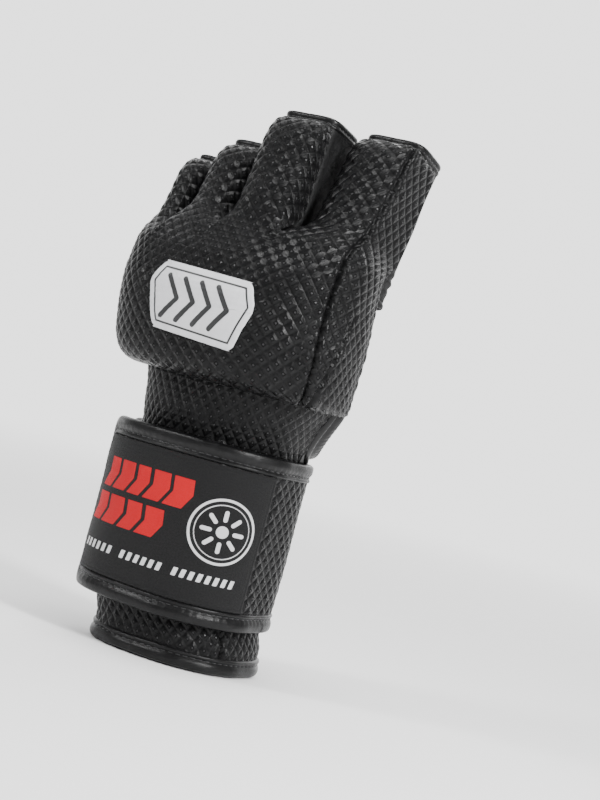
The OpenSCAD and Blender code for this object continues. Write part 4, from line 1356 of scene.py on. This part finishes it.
def emblem():
    """Printed mark in the middle of the knuckle pad, with notches."""
    outline = smooth_path(rounded(EMBLEM_OUTLINE, 3.2), 0.55, closed=True)
    rings = np.concatenate([np.linspace(0.004, 0.9, 44), [0.93, 0.96, 0.985, 1.0]])
    xy = outline[None] * rings[:, None, None]
    x, y = xy[..., 0], xy[..., 1]
    angs = np.linspace(-70, 60, 500)
    arcs = run_length(pad_pt(150, 0.6, angs))
    arcs -= np.interp(EMBLEM_A, angs, arcs)
    ang = np.interp(x, arcs, angs)
    z = EMBLEM_Z + y
    flat = pad_pt(z, 0.0, ang)
    soft = waves(flat)
    out = pad_pt(z, 1.0, ang) - flat
    lift = 0.62 + 0.16 * np.sin(x * 1.37 + y * 1.37) * np.sin(x * 1.37 - y * 1.37) * 0.5
    lift = lift + soft
    lift[-1] = soft[-1] + 0.15
    P = flat + out * lift[..., None]
    face = sheet_part(P[::-1], 0, pattern_at(x, y)[::-1], wrap_c=True, flip=True)
    obj = build("knuckle_emblem_print", face, [M_EMBLEM], "emblem_print", "hand",
                replaces=("knuckle_emblem",))
    x, y = x[::-1].ravel(), y[::-1].ravel()
    inner = polygon_distance(x, y, EMBLEM_OUTLINE)
    dark = np.abs(inner + 3.0) - 0.42
    for dx in (-13.0, -4.5, 4.0, 12.5):
        chevron = [(dx - 3.5, 9.2), (dx + 3.2, 0.4), (dx - 3.5, -8.6)]
        dark = np.minimum(dark, np.maximum(line_distance(x, y, chevron, 1.15), inner + 4.6))
    set_marks(obj, (dark,))


emblem()


# ---------------------------------------------------------------- finger sleeves
SLEEVE_D, SLEEVE_INSET, SLEEVE_N = 13.5, 0.9, 4.5     # half depth, distance from the pad's sides, power
# Sections of the rims: (distance along the finger, depth below the face), RIM's from the sleeve's end
LOWER_RIM = ((-7.9, 1.75), (-9.3, 1.8), (-9.9, 1.2), (-10.1, 0.4), (-9.7, -0.25), (-9.0, -0.45), (-8.2, -0.4),
             (-7.6, -0.1), (-7.3, 0.3))
RIM = ((-4.6, 0.2), (-4.2, -0.28), (-3.6, -0.42), (-3.0, -0.2), (-2.6, 0.0), (-2.1, -0.28), (-1.2, -0.42),
       (-0.4, -0.2), (0, 0.45), (-0.1, 1.2), (-0.9, 1.65), (-2.6, 1.75), (-4.4, 1.6))


def sleeve(f):
    """Tube of plain leather round one finger, with its bound rim and its lining."""
    n, end = f["name"], f["length"]
    hw = (f["x1"] - f["x0"] - GAP) / 2 - SLEEVE_INSET
    t = np.linspace(0, 2 * math.pi, 1440, endpoint=False)
    u, v = (np.append(side, side[0]) for side in (spow(np.sin(t), SLEEVE_N), spow(np.cos(t), SLEEVE_N)))
    length = run_length(np.stack([hw * u, SLEEVE_D * v], 1))
    at = np.linspace(0, length[-1], 150, endpoint=False)
    u, v = np.interp(at, length, u), np.interp(at, length, v)

    def ring(s, shrink):
        return finger_pt(f, s, f["xm"] + (hw - shrink) * u, (SLEEVE_D - shrink) * v)

    s_rows = np.concatenate([np.arange(-9.0, end - 4.2, 0.9), [end - 4.1]])
    P = np.array([ring(s, 0.0) for s in s_rows])
    p, q = np.broadcast_arrays(at[None, :], s_rows[:, None])
    crease = np.exp(-((q - 2) / 5) ** 2)
    palm_side = np.clip(-(P - hinge_of(f)) @ f["out"] / 8, 0, 1)
    h = waves(P, 0.22) + 0.45 * crease * palm_side * np.sin(q * 1.35 + np.sin(p / 7)) \
        + 0.12 * np.sin(p / 3.1 + q / 9) * np.clip((q - 10) / 20, 0, 1)
    h *= np.clip((end - 4.1 - q) / 3, 0, 1)
    P = raised(P, h, True)
    lower = np.array([ring(s, k) for s, k in LOWER_RIM])
    lower_pq = pattern_at(at[None, :], np.arange(float(len(LOWER_RIM)))[:, None])
    fold = ("hand", n + "_stall", hinge_of(f) - f["along"] * 9.5, hinge_of(f) + f["along"] * 13.0)
    build(n + "_sleeve_leather", [sheet_part(P, 0, pattern_at(p, q), wrap_c=True),
                                  sheet_part(lower, 0, lower_pq, wrap_c=True)],
          [M_SLEEVE], "sleeve_leather", bend=fold, replaces=(n + "_sleeve",), padded=0.2)

    along = np.array([end + s for s, _ in RIM])
    G = np.array([ring(s, k) for s, (_, k) in zip(along, RIM)])
    sag = 0.3 * np.sin(at / 9.0 + f["xm"])
    G = G + f["along"] * (sag[None, :, None] * np.linspace(0, 1, len(RIM))[:, None, None] * 0.6 - 0.2)
    line, out = ring(end - 2.6, 0.05), ring(end - 2.6, -0.95)
    seam = stitch_line(line - f["along"] * 0.2, out - line, 1, pitch=2.9, length=2.0, closed=True)
    build(n + "_sleeve_rim", [sheet_part(G, 0, pattern_at(at[None, :], along[:, None]), wrap_c=True), seam],
          *BOUND, n + "_stall", replaces=(n + "_sleeve_hem",), padded=0.3)

    s_rows = np.concatenate([np.arange(-8.0, end - 3.4, 1.5), [end - 3.2]])
    L = np.array([ring(s, 1.9) for s in s_rows])
    p, q = np.broadcast_arrays(at[None, :], s_rows[:, None])
    L = L - normals(L, True) * (0.15 + 0.3 * np.sin(p / 6) ** 2 * np.sin(q / 5) ** 2)[..., None]
    build(n + "_sleeve_lining", sheet_part(L, 0, pattern_at(p, q), wrap_c=True, flip=True), [M_LINING],
          "lining_fabric", bend=fold, replaces=(n + "_lining",))


for f in FINGERS:
    sleeve(f)


# ---------------------------------------------------------------- stage, light
BEHIND = (-0.5, 0.866, 0.0)     # side of the studio behind the glove, which is the brightest


def studio_level(tree, direction):
    """Brightness of the studio's walls in a direction."""
    return tree.span(tree.dot(direction, BEHIND), 0.35, 0.95, 0.5, 2.4)


def stage():
    """Pale floor; far from the glove it takes on the walls' own brightness, so that no horizon shows."""
    mat = bpy.data.materials.new("studio_floor")
    tree = Nodes(mat)
    bsdf = tree.nodes["Principled BSDF"]
    bsdf.inputs["Base Color"].default_value = (0.93, 0.93, 0.93, 1)
    bsdf.inputs["Roughness"].default_value = 0.85
    bsdf.inputs["Specular IOR Level"].default_value = 0.1
    here = tree.new("TexCoord").outputs["Object"]
    far = tree.span(tree.vector("LENGTH", here, output="Value"), 0.25, 1.6)
    wall, mix = tree.new("Emission"), tree.new("MixShader")
    tree.put(wall.inputs["Strength"], studio_level(tree, tree.vector("NORMALIZE", here)))
    for socket, value in zip(mix.inputs, (far, bsdf.outputs[0], wall.outputs[0])):
        tree.put(socket, value)
    tree.put(tree.nodes["Material Output"].inputs["Surface"], mix.outputs[0])
    mesh = bpy.data.meshes.new("floor")
    size = 9.0
    corners = [(-size, -size, 0), (size, -size, 0), (size, size, 0), (-size, size, 0)]
    mesh.from_pydata(corners, [], [(0, 1, 2, 3)])
    floor = bpy.data.objects.new("floor", mesh)
    mesh.materials.append(mat)
    bpy.context.scene.collection.objects.link(floor)
    floor.location.z = -0.0003


def area_light(name, position, target, size, power):
    data = bpy.data.lights.new(name, "AREA")
    data.shape = "RECTANGLE"
    data.size, data.size_y = size
    data.energy = power
    light = bpy.data.objects.new(name, data)
    position, target = Vector(position), Vector(target)
    light.location = position
    light.rotation_euler = (target - position).to_track_quat("-Z", "Y").to_euler()
    bpy.context.scene.collection.objects.link(light)


def lighting():
    world = bpy.data.worlds.new("studio")
    bpy.context.scene.world = world
    tree = Nodes(world)
    background = tree.nodes["Background"]
    background.inputs["Color"].default_value = (1, 1, 1, 1)
    tree.put(background.inputs["Strength"], studio_level(tree, tree.new("TexCoord").outputs["Generated"]))
    middle = (0, 0, 0.13)
    area_light("key", (-0.62, -0.85, 0.85), middle, (0.25, 0.25), 9.5)
    area_light("side", (0.98, -0.30, 0.62), middle, (0.2, 0.45), 20)
    area_light("back", (-0.15, 1.0, 0.75), middle, (0.7, 0.4), 5)
    area_light("top", (0.1, -0.15, 1.25), middle, (0.4, 0.4), 8.5)


stage()
lighting()
